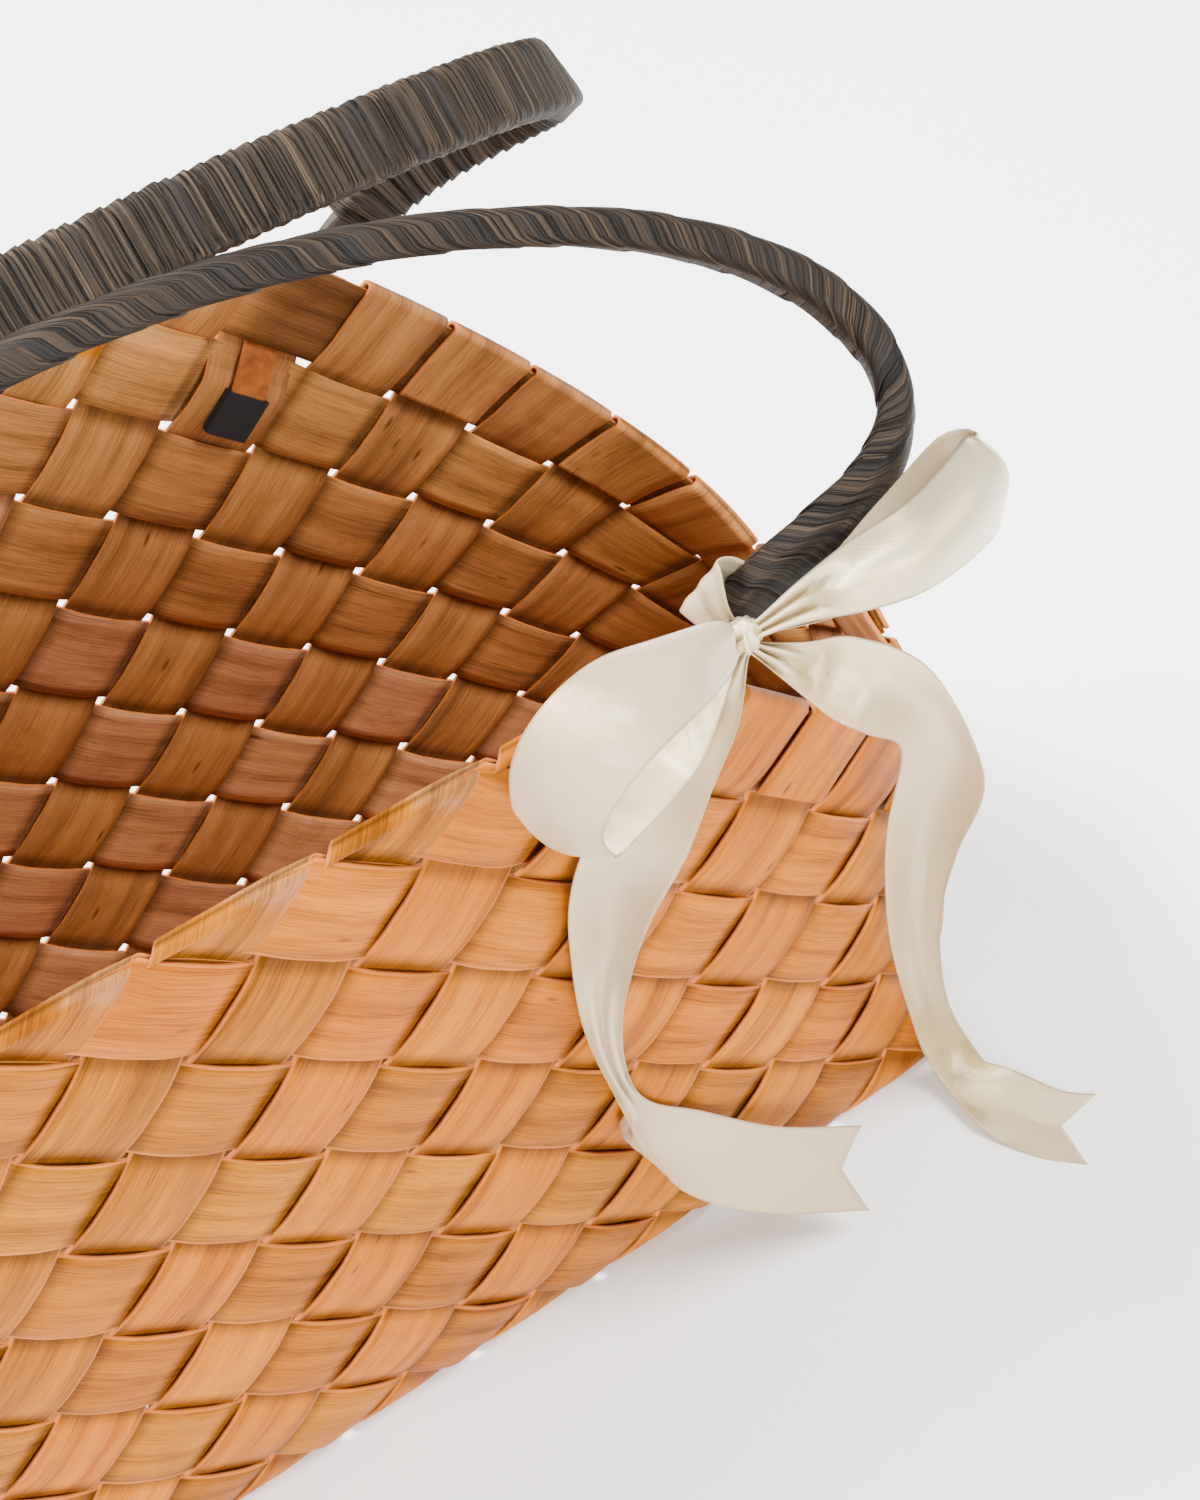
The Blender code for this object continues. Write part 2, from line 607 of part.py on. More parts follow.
class Handle:
    """A bent handle core with its two tangs, followed from the left tip over the top."""

    def __init__(self, name, side, lean, sway, width):
        self.name = name
        self.side = side
        self.sway = sway
        self.width = width
        self.up = Vector((0.0, -side * math.sin(lean), math.cos(lean)))
        self.flat = Vector((0.0, -side * math.cos(lean), -math.sin(lean)))
        left = self.leg(-1)
        right = self.leg(1)
        stations = left + right[-2::-1]
        self.points = [station[0] for station in stations]
        self.leans = [station[1] for station in stations]
        self.sizes = [station[2] for station in stations]
        self.rim_index = len(RISING_TANG_SHARES) - 1
        self.travel = [0.0]
        for before, after in zip(self.points, self.points[1:]):
            self.travel.append(self.travel[-1] + (after - before).length)

    def leg_point(self, end, share, layer):
        """Return a place on the line that a leg follows through the wall."""
        x = end * (FOOT_STEP - 1 + share)
        p = x if self.side < 0 else 2 * END_STEP - x
        return on_wall(p, RIM_STEPS - 2 + share, layer)

    def leg(self, end):
        """Return stations from a tang's tip to the top: place, width direction and section."""
        tang = (0.5 * TANG_WIDTH, 0.5 * TANG_THICKNESS)
        core = (0.5 * self.width, 0.5 * CORE_THICKNESS)
        foot_across = Vector((end, 0.0, -1.0)).normalized()
        rising = self.side * end < 0
        stations = []
        for share, border, inside in RISING_TANG_SHARES if rising else FALLING_TANG_SHARES:
            layer = border * BORDER_OFFSET + inside * TANG_INSIDE_OFFSET
            size = core if share > CORE_START_SHARE else tang
            stations.append((self.leg_point(end, share, layer), foot_across, size))
        start = stations[-1][0]
        heading = (start - self.leg_point(end, RIM_SHARE - BEND_SHARE, 0.0)).normalized()
        foot = Vector((0.0, self.side * RIM_HALF_WIDTH, RIM_STEPS * STEP + UNDERSIDE))
        foot.x = self.sway
        shoulder = foot + Vector((end * HANDLE_REACH, 0.0, 0.0)) + self.up * HANDLE_SHOULDER
        bend = BEND_SHARE * (shoulder - start).length
        controls = (start, start + heading * bend, shoulder - self.up * bend, shoulder)
        bent = []
        for k in range(1, SHOULDER_RINGS + 1):
            u = k / SHOULDER_RINGS
            weights = ((1 - u) ** 3, 3 * u * (1 - u) ** 2, 3 * u * u * (1 - u), u ** 3)
            bent.append(sum((c * w for c, w in zip(controls, weights)), Vector()))
        for k in range(1, ARCH_RINGS + 1):
            turn = 0.5 * math.pi * k / ARCH_RINGS
            power = 2.0 / HANDLE_FULLNESS
            x = HANDLE_REACH * max(math.cos(turn), 0.0) ** power
            rise = (HANDLE_RISE - HANDLE_SHOULDER) * math.sin(turn) ** power
            bent.append(foot + Vector((end * x, 0.0, 0.0)) + self.up * (HANDLE_SHOULDER + rise))
        done = 0.0
        for before, after in zip([start] + bent, bent):
            done += (after - before).length
            turned = smooth_step(done / TWIST_LENGTH)
            across = foot_across * (1.0 - turned) + self.flat * turned
            stations.append((after, across, core))
        return stations

    def frame(self, k):
        """Return a station's place, heading, width direction and outward direction."""
        low = max(k - 1, 0)
        high = min(k + 1, len(self.points) - 1)
        heading = (self.points[high] - self.points[low]).normalized()
        across = (self.leans[k] - heading * self.leans[k].dot(heading)).normalized()
        return self.points[k], heading, across, heading.cross(across)

    def frame_at(self, travel):
        """Return the frame at a distance along the handle."""
        low = 0
        while low < len(self.travel) - 2 and self.travel[low + 1] < travel:
            low += 1
        share = (travel - self.travel[low]) / (self.travel[low + 1] - self.travel[low])
        first, second = self.frame(low), self.frame(low + 1)
        mixed = [a.lerp(b, share) for a, b in zip(first, second)]
        heading = mixed[1].normalized()
        across = (mixed[2] - heading * mixed[2].dot(heading)).normalized()
        return mixed[0], heading, across, heading.cross(across)

    def section(self, k, corners):
        """Return the points of a section at a station."""
        point, _, across, outward = self.frame(k)
        return [point + across * x + outward * y for x, y in corners]

    def add_core(self):
        """Add the wooden core, pared flat at both ends."""
        rings = []
        for k, (half_width, half_thickness) in enumerate(self.sizes):
            corners = chamfered(half_width, half_thickness, CORE_CHAMFER)
            rings.append(self.section(k, corners))
        name = f"handle_{self.name}_core"
        add_object(name, mesh_from_rings(name, rings, True, True), "core")

    def add_tapes(self):
        """Add the tape sleeve on each tang."""
        for end, word in ((0, "left"), (1, "right")):
            stations = (0, 1) if end == 0 else (len(self.points) - 1, len(self.points) - 2)
            loops = []
            for room in (TANG_SEAT, TANG_SEAT + TAPE_THICKNESS):
                corners = chamfered(0.5 * TANG_WIDTH + room, 0.5 * TANG_THICKNESS + room, CORE_CHAMFER)
                pair = [self.section(k, corners) for k in stations]
                loops += pair if room == TANG_SEAT else pair[::-1]
            name = f"handle_{self.name}_tape_{word}"
            add_object(name, mesh_from_rings(name, loops, True, closed_path=True), "tape")

    def add_wrap(self):
        """Add the bark strip as one unbroken winding, and print its least gap to itself."""
        start = self.travel[self.rim_index] + WRAP_FIRST
        stop = self.travel[-1] - start
        pitch = (stop - start) / WRAP_TURNS
        half = 0.5 * (pitch - WRAP_SPACE)
        inner, outer = WRAP_SEAT, WRAP_SEAT + WRAP_THICKNESS
        total = (WRAP_TURNS - 1) * WRAP_POINTS_PER_TURN
        rings = []
        for k in range(total + 1):
            middle = start + 0.5 * pitch + (stop - start - pitch) * k / total
            ring = []
            for edge, room in ((-half, inner), (0.0, inner), (half, inner),
                               (half, outer), (0.0, outer), (-half, outer)):
                corners = chamfered(0.5 * self.width + room, 0.5 * CORE_THICKNESS + room,
                                    CORE_CHAMFER + 0.5 * room)
                x, y = corners[k % WRAP_POINTS_PER_TURN]
                point, _, across, outward = self.frame_at(middle + edge)
                ring.append(point + across * x + outward * y)
            rings.append(ring)
        name = f"handle_{self.name}_wrap"
        add_object(name, mesh_from_rings(name, rings, True, True), "bark")
        least = min(
            (one - other).length
            for low, high in zip(rings, rings[WRAP_POINTS_PER_TURN:])
            for one in (low[2], low[3]) for other in (high[0], high[5])
        )
        print(f"{name}: {WRAP_TURNS - 1} turns, least gap to itself {1000.0 * least:.2f} mm")


def smooth_route(shares):
    """Return a smooth run of (place, width) through the stations of a route."""
    found = []
    last = len(shares) - 1
    for k in range(last):
        picks = [shares[min(max(k + n, 0), last)] for n in (-1, 0, 1, 2)]
        for u in ROUTE_SHARES:
            weights = (0.5 * (-u + 2 * u * u - u ** 3), 0.5 * (2 - 5 * u * u + 3 * u ** 3),
                       0.5 * (u + 4 * u * u - 3 * u ** 3), 0.5 * (u ** 3 - u * u))
            found.append(tuple(
                sum((Vector(pick[part]) * w for pick, w in zip(picks, weights)), Vector())
                for part in (0, 1)
            ))
    found.append((Vector(shares[last][0]), Vector(shares[last][1])))
    return found


def ribbon_rows(route, side, notched):
    """Return rows of three points across a ribbon, cupped where it is narrower than it is wide."""
    rows = []
    for k, (place, width) in enumerate(route):
        ahead = (route[min(k + 1, len(route) - 1)][0] - route[max(k - 1, 0)][0]).normalized()
        chord = max(width.length, TOUCH)
        face = ahead.cross(width).normalized() * side
        rise = chord * math.sqrt(0.375 * max(RIBBON_WIDTH / BOW_SIZE / chord - 1.0, 0.0))
        rise = min(rise, CUP_LIMIT_SHARE * chord)
        middle = place + face * rise
        if notched and k == len(route) - 1:
            middle = middle - ahead * NOTCH_SHARE
        rows.append([place - width * 0.5, middle, place + width * 0.5])
    return rows


def add_ribbon(near):
    """Add the ribbon that is tied round the right leg of the near handle."""
    after_rim = near.travel[near.rim_index] + BAND_PLACE_SHARE * SPLINT_PITCH
    place, down, across, outward = near.frame_at(near.travel[-1] - after_rim)
    heading, across = -down, -across
    outward = outward * math.copysign(1.0, outward.y * near.side)
    middle = place + across * (BAND_SHIFT_SHARE * BOW_SIZE)
    half = 0.5 * BAND_WIDTH_SHARE * BOW_SIZE
    loops = []
    for room, edges in ((0.0, (-half, half)), (RIBBON_THICKNESS, (half, -half))):
        for edge in edges:
            loop = []
            for k in range(BAND_POINTS):
                turn = 2.0 * math.pi * k / BAND_POINTS
                x = (BAND_HALF_ACROSS_SHARE * BOW_SIZE + room) * math.cos(turn)
                y = (BAND_HALF_DEEP_SHARE * BOW_SIZE + room) * math.sin(turn)
                loop.append(middle + across * x + outward * y + heading * edge)
            loops.append(loop)
    name = "ribbon_band"
    add_object(name, mesh_from_rings(name, loops, True, closed_path=True), "ribbon")

    radii = [share * BOW_SIZE for share in KNOT_RADII_SHARES]
    front = BAND_HALF_DEEP_SHARE * BOW_SIZE + RIBBON_THICKNESS + RIBBON_SEAT + radii[1]
    knot = place + across * (KNOT_PLACE_SHARES[1] * BOW_SIZE)
    knot += heading * (KNOT_PLACE_SHARES[0] * BOW_SIZE) + outward * front
    shape = bmesh.new()
    bmesh.ops.create_uvsphere(shape, u_segments=KNOT_POINTS, v_segments=KNOT_RINGS, radius=1.0)
    bmesh.ops.scale(shape, vec=Vector(radii), verts=shape.verts)
    bmesh.ops.translate(shape, vec=knot, verts=shape.verts)
    mesh = bpy.data.meshes.new("ribbon_knot")
    shape.to_mesh(mesh)
    shape.free()
    add_object("ribbon_knot", mesh, "ribbon")

    rest = 0.5 * RIBBON_THICKNESS / BOW_SIZE - knot.z / BOW_SIZE
    floor_part = tuple(((x, y, z + rest), width) for (x, y, z), width in RIGHT_TAIL_FLOOR_SHARES)
    routes = (
        ("ribbon_loop_left", LEFT_LOOP_SHARES, 1.0, False),
        ("ribbon_loop_right", RIGHT_LOOP_SHARES, -1.0, False),
        ("ribbon_tail_left", LEFT_TAIL_SHARES, -1.0, True),
        ("ribbon_tail_right", RIGHT_TAIL_SHARES + floor_part, 1.0, True),
    )
    for name, shares, side, notched in routes:
        rows = ribbon_rows(smooth_route(shares), side, notched)
        rings = [[knot + point * BOW_SIZE for point in row] for row in rows]
        for ring in rings:
            for point in ring:
                point.z = max(point.z, 0.5 * RIBBON_THICKNESS)
        add_object(name, mesh_from_rings(name, rings), "ribbon", RIBBON_THICKNESS)


def make_handles():
    """Make both handles and the ribbon on the near one."""
    near = Handle("near", -1, NEAR_LEAN, NEAR_SWAY, NEAR_CORE_WIDTH)
    far = Handle("far", 1, FAR_LEAN, FAR_SWAY, FAR_CORE_WIDTH)
    for handle in (near, far):
        handle.add_core()
        handle.add_tapes()
        handle.add_wrap()
    add_ribbon(near)


clear_scene()
make_splints()
make_handles()
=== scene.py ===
"""Dressed scene of a foraging basket: plaited splints, bark-wrapped handles and a satin ribbon.

Every splint is a flat strip that is bent into the weave, so its grain runs along it and its ends
fold over the rim as the real ones do. Places on the weave are counted in grid steps, and one step
is half the diagonal of a crossing. All other sizes are metres.
"""

import logging
import math
from dataclasses import dataclass, field
from enum import Enum

import bmesh
import bpy
import numpy as np
from mathutils import Matrix, Vector, noise

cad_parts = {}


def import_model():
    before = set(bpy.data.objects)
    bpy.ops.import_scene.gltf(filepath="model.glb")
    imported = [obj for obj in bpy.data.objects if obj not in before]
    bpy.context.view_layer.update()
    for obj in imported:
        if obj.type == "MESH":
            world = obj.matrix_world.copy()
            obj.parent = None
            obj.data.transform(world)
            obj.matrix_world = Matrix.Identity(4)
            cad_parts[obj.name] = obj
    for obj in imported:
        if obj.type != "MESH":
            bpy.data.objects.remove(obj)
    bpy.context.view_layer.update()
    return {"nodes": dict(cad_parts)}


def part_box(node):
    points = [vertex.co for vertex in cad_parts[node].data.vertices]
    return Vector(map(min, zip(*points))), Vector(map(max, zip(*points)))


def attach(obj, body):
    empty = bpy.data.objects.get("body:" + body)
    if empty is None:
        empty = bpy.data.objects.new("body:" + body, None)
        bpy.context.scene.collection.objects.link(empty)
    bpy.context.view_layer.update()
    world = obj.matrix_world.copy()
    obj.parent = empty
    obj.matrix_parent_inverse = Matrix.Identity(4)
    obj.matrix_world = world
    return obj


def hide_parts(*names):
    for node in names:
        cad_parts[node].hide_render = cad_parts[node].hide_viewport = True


LOG = logging.getLogger("basket")
ROOT = "root"
MM = 0.001
PARED_REACH = 19.0 * MM
ROOT_HALF = math.sqrt(0.5)
QUARTER_TURN = 0.5 * math.pi

Socket = bpy.types.NodeSocket


class Family(Enum):
    """The two directions in which the splints of the base run."""

    A = "a"
    B = "b"


class End(Enum):
    """How a splint ends."""

    FOLDED = "folded over the level rim"
    CUT = "cut under the rim folds"
    WRAPPED = "wrapped round the sloping border"
    TANG = "cut short for a handle tang"
    HELD = "held under the border"


class Face(Enum):
    """Which side of a splint a finish covers."""

    OUTER = "outer"
    INNER = "inner"
    EDGE = "edge"


def srgb(code: str) -> tuple[float, float, float, float]:
    """Turn an sRGB hex colour to the linear values that Blender's sockets take.

    Args:
        code: The colour as "#rrggbb".

    Returns:
        Red, green, blue and full opacity.
    """
    parts = [int(code[k : k + 2], 16) / 255.0 for k in (1, 3, 5)]
    line = [c / 12.92 if c <= 0.04045 else ((c + 0.055) / 1.055) ** 2.4 for c in parts]
    return line[0], line[1], line[2], 1.0


class Shade:
    """A material in the making: its tree, its main shader and the one way to add a node."""

    def __init__(self, name: str) -> None:
        """Start a material.

        Args:
            name: The name of the real material that it stands for.
        """
        self.made = bpy.data.materials.new(name)
        self.made.use_nodes = True
        self.tree = self.made.node_tree
        self.main = self.tree.nodes["Principled BSDF"]

    def feed(self, node: bpy.types.Node, inputs: dict) -> None:
        """Give a node its inputs.

        Args:
            node: The node.
            inputs: Input name or number, to a socket that feeds it, an sRGB hex colour or a value.
        """
        for name, value in inputs.items():
            if isinstance(value, Socket):
                self.tree.links.new(value, node.inputs[name])
            else:
                node.inputs[name].default_value = srgb(value) if isinstance(value, str) else value

    def add(
        self,
        kind: str,
        inputs: dict | None = None,
        out: int | str = 0,
        stops: tuple = (),
        **settings: object,
    ) -> Socket:
        """Add one node with its settings, its values and its links.

        Args:
            kind: Blender's name of the node, without "ShaderNode".
            inputs: What feeds it, as feed() takes it.
            out: Name or number of the output that is wanted.
            stops: A colour ramp's places with sRGB hex colours.
            settings: Properties of the node itself.

        Returns:
            The output socket.
        """
        node = self.tree.nodes.new("ShaderNode" + kind)
        for name, value in settings.items():
            setattr(node, name, value)
        self.feed(node, inputs or {})
        if stops:
            points = node.color_ramp.elements
            while len(points) < len(stops):
                points.new(0.5)
            for point, (place, code) in zip(points, stops):
                point.position, point.color = place, srgb(code)
        return node.outputs[out]

    def marks(
        self,
        place: Socket,
        size: tuple[float, float],
        seed: float = 1.0,
        detail: float = 2.0,
        rough: float = 0.5,
    ) -> Socket:
        """Draw noise out into marks that lie along a strip.

        Args:
            place: Where a point lies along and across the strip, and a number of the strip's own.
            size: Length and width of a mark.
            seed: How far apart the strips' own numbers bring their marks.
            detail: How many finer layers the noise has.
            rough: How strong the finer layers are.

        Returns:
            The noise, about 0 to 1.
        """
        often = (1.0 / size[0], 1.0 / size[1], seed)
        drawn = self.add("VectorMath", {0: place, 1: often}, operation="MULTIPLY")
        levels = {"Vector": drawn, "Scale": 1.0, "Detail": detail, "Roughness": rough}
        return self.add("TexNoise", levels, "Fac")

    def stain(self, under: Socket, over: str, where: Socket, span: tuple, shares: tuple) -> Socket:
        """Lay a colour over another one where a pattern says so.

        Args:
            under: The colour below.
            over: The colour on top.
            where: The pattern.
            span: The two values of the pattern between which the share changes.
            shares: The top colour's share at these two values.

        Returns:
            The mixed colour.
        """
        limits = dict(zip(("From Min", "From Max", "To Min", "To Max"), (*span, *shares)))
        share = self.add("MapRange", {"Value": where, **limits})
        return self.add("Mix", {0: share, 6: under, 7: over}, 2, data_type="RGBA")

    def finish(self, inputs: dict) -> bpy.types.Material:
        """Feed the main shader and return the material."""
        self.feed(self.main, inputs)
        return self.made


@dataclass(frozen=True)
class SplintFinish:
    """Shaved wood strip, left raw.

    To the eye it is dry and a little shiny along the grain, with fibres torn at its edges. Shade is
    painted on it where it dips under another splint in the hollows of the weave. A pair of sizes is a
    mark's length along the strip and its width.
    """

    family: Family
    face: Face
    tones: tuple[str, str, str]
    turned_tones: tuple[str, str, str]
    grain: tuple[float, float] = (16.0 * MM, 0.36 * MM)
    bands: tuple[float, float] = (90.0 * MM, 5.5 * MM)
    pores: tuple[float, float] = (7.0 * MM, 0.28 * MM)
    knots: tuple[float, float] = (34.0 * MM, 9.0 * MM)
    ripples: tuple[float, float] = (1.6 * MM, 7.0 * MM)
    smudge: float = 17.0 * MM
    bend: float = 28.0 * MM
    half_width: float = 11.25 * MM
    torn_edge: float = 0.30 * MM
    smudge_colour: str = "#74461C"
    knot_colour: str = "#3A1B0A"
    edge_colour: str = "#C9743A"

    def material(self) -> bpy.types.Material:
        """Build the wood, whose grain follows the strip's own UV map in metres.

        Returns:
            The material.
        """
        shade = Shade(f"shaved_wood_{self.family.value}_{self.face.value}")
        wavy = self.family is Family.A
        place = shade.add("UVMap", uv_map="strip")
        along, across = shade.add("SeparateXYZ", {0: place}).node.outputs[:2]
        tone, rise, turned = (
            shade.add("Attribute", out="Fac", attribute_name=name) for name in ("tone", "rise", "turned")
        )

        # The grain of one family wanders from side to side, the other's runs nearly straight
        bends = shade.add("TexNoise", {"Vector": place, "Scale": 1.0 / self.bend, "Detail": 2.0}, "Fac")
        swing = 2.6 * MM if wavy else 0.9 * MM
        bent = shade.add("Math", {0: bends, 1: swing, 2: across}, operation="MULTIPLY_ADD")
        strip = shade.add("CombineXYZ", {0: along, 1: bent, 2: tone})
        grain = shade.marks(strip, self.grain, 17.0, 5.0, 0.62)
        mixed = shade.add("Mix", {0: 0.5, 2: grain, 3: shade.marks(strip, self.bands, 31.0)})
        lying, folded = (
            shade.add("ValToRGB", {"Fac": mixed}, stops=((0.36, deep), (0.50, middle), (0.65, pale)))
            for pale, middle, deep in (self.tones, self.turned_tones)
        )
        wood = shade.add("Mix", {0: turned, 6: lying, 7: folded}, 2, data_type="RGBA")
        pores = shade.marks(strip, self.pores, 23.0, 1.0)
        wood = shade.stain(wood, self.tones[2], pores, (0.58, 0.74), (0.0, 0.65))

        # No two strips have quite the same colour
        hue = shade.add("MapRange", {"Value": tone, "To Min": 0.492, "To Max": 0.508})
        value = shade.add("MapRange", {"Value": tone, "To Min": 0.85, "To Max": 1.15})
        wood = shade.add("HueSaturation", {"Hue": hue, "Value": value, "Color": wood})

        levels = {"Vector": place, "Scale": 1.0 / self.smudge, "Detail": 6.0, "Roughness": 0.7}
        smudges = shade.add("TexNoise", levels, "Fac")
        wood = shade.stain(wood, self.smudge_colour, smudges, (0.54, 0.70), (0.0, 0.55))
        straight = shade.add("CombineXYZ", {0: along, 1: across, 2: tone})
        size = (1.0 / self.knots[0], 1.0 / self.knots[1], 11.0)
        spots = shade.add("VectorMath", {0: straight, 1: size}, operation="MULTIPLY")
        knots = shade.add("TexVoronoi", {"Vector": spots, "Scale": 1.0, "Randomness": 1.0}, "Distance")
        wood = shade.stain(wood, self.knot_colour, knots, (0.03, 0.085), (0.75, 0.0))

        # Painted shade: a splint is darkened where it dips under another, as if in its neighbour's shadow
        painted_shade = shade.add("MapRange", {"Value": rise, "From Max": 0.55, "To Min": 0.36})
        wood = shade.add("Mix", {0: 1.0, 6: wood, 7: painted_shade}, 2, data_type="RGBA", blend_type="MULTIPLY")
        reach = shade.add("Math", {0: across}, operation="ABSOLUTE")
        torn = shade.add("Math", {0: grain, 1: 0.5 * MM, 2: reach}, operation="MULTIPLY_ADD")
        span = (self.half_width - self.torn_edge, self.half_width)
        most = 0.0 if self.face is Face.INNER else 0.45
        wood = shade.stain(wood, self.edge_colour, torn, span, (0.0, most))

        ripples = shade.marks(strip, self.ripples, 5.0)
        depth = 0.55 if wavy else 0.12
        height = shade.add("Math", {0: ripples, 1: depth, 2: grain}, operation="MULTIPLY_ADD")
        return shade.finish(
            {
                "Base Color": wood,
                "Normal": shade.add("Bump", {"Height": height, "Strength": 0.8, "Distance": 0.16 * MM}),
                "Roughness": shade.add("MapRange", {"Value": grain, "To Min": 0.66, "To Max": 0.46}),
                "IOR": 1.48,
                "Specular IOR Level": 0.20,
                "Specular Tint": "#D08A45",
            }
        )


@dataclass(frozen=True)
class BarkFinish:
    """Dried bark strip. To the eye it is dark and matte, cracked, with pale fibres raised along it."""

    name: str
    dark: str = "#060504"
    middle: str = "#1C1612"
    warm: str = "#30261D"
    pale: str = "#4F3F2E"
    cool: str = "#15161A"
    fibre_width: float = 0.45 * MM
    fibre_length: float = 26.0 * MM
    groove_width: float = 1.3 * MM
    crack_width: float = 0.55 * MM
    crack_length: float = 10.0 * MM
    patch: float = 14.0 * MM

    def material(self) -> bpy.types.Material:
        """Build the bark, whose fibres follow the strip's own UV map in metres.

        Returns:
            The material.
        """
        shade = Shade(self.name)
        place = shade.add("UVMap", uv_map="strip")
        fibres = shade.marks(place, (self.fibre_length, self.fibre_width), detail=6.0, rough=0.68)
        grooves = shade.marks(place, (2.5 * self.fibre_length, self.groove_width))
        relief = shade.add("Mix", {0: 0.5, 2: fibres, 3: grooves})
        stops = (0.36, self.dark), (0.45, self.middle), (0.55, self.warm), (0.68, self.pale)
        colour = shade.add("ValToRGB", {"Fac": relief}, stops=stops)
        patches = shade.add("TexNoise", {"Vector": place, "Scale": 1.0 / self.patch, "Detail": 3.0}, "Fac")
        colour = shade.stain(colour, self.cool, patches, (0.52, 0.66), (0.0, 0.55))
        cracks = shade.marks(place, (self.crack_length, self.crack_width))
        limits = {"From Min": 0.37, "From Max": 0.46, "To Min": 0.92, "To Max": 0.0}
        crack = shade.add("MapRange", {"Value": cracks, **limits})
        height = shade.add("Math", {0: relief, 1: crack}, operation="SUBTRACT")
        return shade.finish(
            {
                "Base Color": shade.add("Mix", {0: crack, 6: colour, 7: self.dark}, 2, data_type="RGBA"),
                "Normal": shade.add("Bump", {"Height": height, "Strength": 1.0, "Distance": 0.5 * MM}),
                "Roughness": 0.55,
                "Specular IOR Level": 0.14,
            }
        )


@dataclass(frozen=True)
class CoreFinish:
    """Bent wood with soft streaks: stained dark under the bark, left its own brown on the pared tangs."""

    name: str = "stained_core_wood"
    dark: str = "#120E0B"
    pale: str = "#382C22"
    specular: float = 0.5
    streak: float = 4.8 * MM

    def material(self) -> bpy.types.Material:
        """Build the wood on object coordinates.

        Returns:
            The material.
        """
        shade = Shade(self.name)
        place = shade.add("TexCoord", out="Object")
        levels = {"Vector": place, "Scale": 1.0 / self.streak, "Detail": 8.0, "Roughness": 0.7}
        streaks = shade.add("TexNoise", levels, "Fac")
        return shade.finish(
            {
                "Base Color": shade.add(
                    "ValToRGB", {"Fac": streaks}, stops=((0.35, self.dark), (0.65, self.pale))
                ),
                "Normal": shade.add("Bump", {"Height": streaks, "Strength": 0.6, "Distance": 0.3 * MM}),
                "Roughness": 0.66,
                "Specular IOR Level": self.specular,
            }
        )


@dataclass(frozen=True)
class TapeFinish:
    """Cotton tape, dyed black and plain woven. To the eye it is matte, with a fine grid of threads."""

    name: str = "black_cotton_tape"
    colour: str = "#161617"
    thread: float = 0.45 * MM

    def material(self) -> bpy.types.Material:
        """Build the cloth on object coordinates, with threads drawn coarse enough to show.

        Returns:
            The material.
        """
        shade = Shade(self.name)
        place = shade.add("TexCoord", out="Object")
        levels = {"Vector": place, "Scale": 1.0 / self.thread, "Randomness": 0.35}
        weave = shade.add("TexVoronoi", levels, "Distance")
        return shade.finish(
            {
                "Base Color": self.colour,
                "Normal": shade.add("Bump", {"Height": weave, "Strength": 0.7, "Distance": 0.15 * MM}),
                "Roughness": 0.85,
                "Specular IOR Level": 0.25,
            }
        )


@dataclass(frozen=True)
class SatinFinish:
    """Woven satin ribbon with a corded selvage.

    To the eye the face shines on its long floats, and the back is a duller, open ground.
    """

    name: str
    colour: str
    roughness: float
    lustre: float
    selvage_colour: str = "#A88F68"
    thread: float = 0.42 * MM
    half_width: float = 10.25 * MM
    selvage: float = 0.7 * MM

    def material(self) -> bpy.types.Material:
        """Build the cloth on the ribbon's own UV map in metres, with threads drawn coarse to show.

        Returns:
            The material.
        """
        shade = Shade(self.name)
        place = shade.add("UVMap", uv_map="strip")
        along, across = shade.add("SeparateXYZ", {0: place}).node.outputs[:2]
        threads = (
            shade.add("Math", {0: way, 1: math.tau / self.thread}, operation="MULTIPLY")
            for way in (across, along)
        )
        warp, weft = (shade.add("Math", {0: turn}, operation="SINE") for turn in threads)
        cloth = shade.add("Math", {0: warp, 1: weft}, operation="MULTIPLY")
        reach = shade.add("Math", {0: across}, operation="ABSOLUTE")
        limits = {"From Min": self.half_width - self.selvage, "From Max": self.half_width}
        edge = shade.add("MapRange", {"Value": reach, **limits})
        height = shade.add("Math", {0: cloth, 1: edge}, operation="ADD")
        colours = {0: edge, 6: self.colour, 7: self.selvage_colour}
        # The lustre is a metallic share: light leaves the floats in one direction, tinted by the yarn
        return shade.finish(
            {
                "Base Color": shade.add("Mix", colours, 2, data_type="RGBA"),
                "Normal": shade.add("Bump", {"Height": height, "Strength": 0.5, "Distance": 0.10 * MM}),
                "Tangent": shade.add("Tangent", direction_type="UV_MAP", uv_map="strip"),
                "Anisotropic": 0.8,
                "Anisotropic Rotation": 0.25,
                "Metallic": self.lustre,
                "Roughness": self.roughness,
                "Sheen Weight": 0.15,
                "Sheen Roughness": 0.4,
                "Coat Weight": 0.5,
                "Coat Roughness": 0.22,
            }
        )


@dataclass(frozen=True)
class BackdropFinish:
    """Painted studio sweep, plain white and matte."""

    name: str = "white_sweep"
    colour: str = "#FCFCFB"

    def material(self) -> bpy.types.Material:
        """Build a plain matte surface."""
        inputs = {"Base Color": self.colour, "Roughness": 0.9, "Specular IOR Level": 0.1}
        return Shade(self.name).finish(inputs)


def smoothstep(value: np.ndarray) -> np.ndarray:
    """Ease values from 0 to 1."""
    held = np.clip(value, 0.0, 1.0)
    return held * held * (3.0 - 2.0 * held)


def travel_along(line: np.ndarray) -> np.ndarray:
    """Return how far along a line each of its points lies."""
    return np.concatenate([[0.0], np.cumsum(np.linalg.norm(np.diff(line, axis=0), axis=1))])


def waver(places: np.ndarray, row: float, layer: float) -> np.ndarray:
    """Return smooth noise, about -1 to 1, at places on a row and layer of its own."""
    return np.array([noise.noise(Vector((place, row, layer))) for place in places])


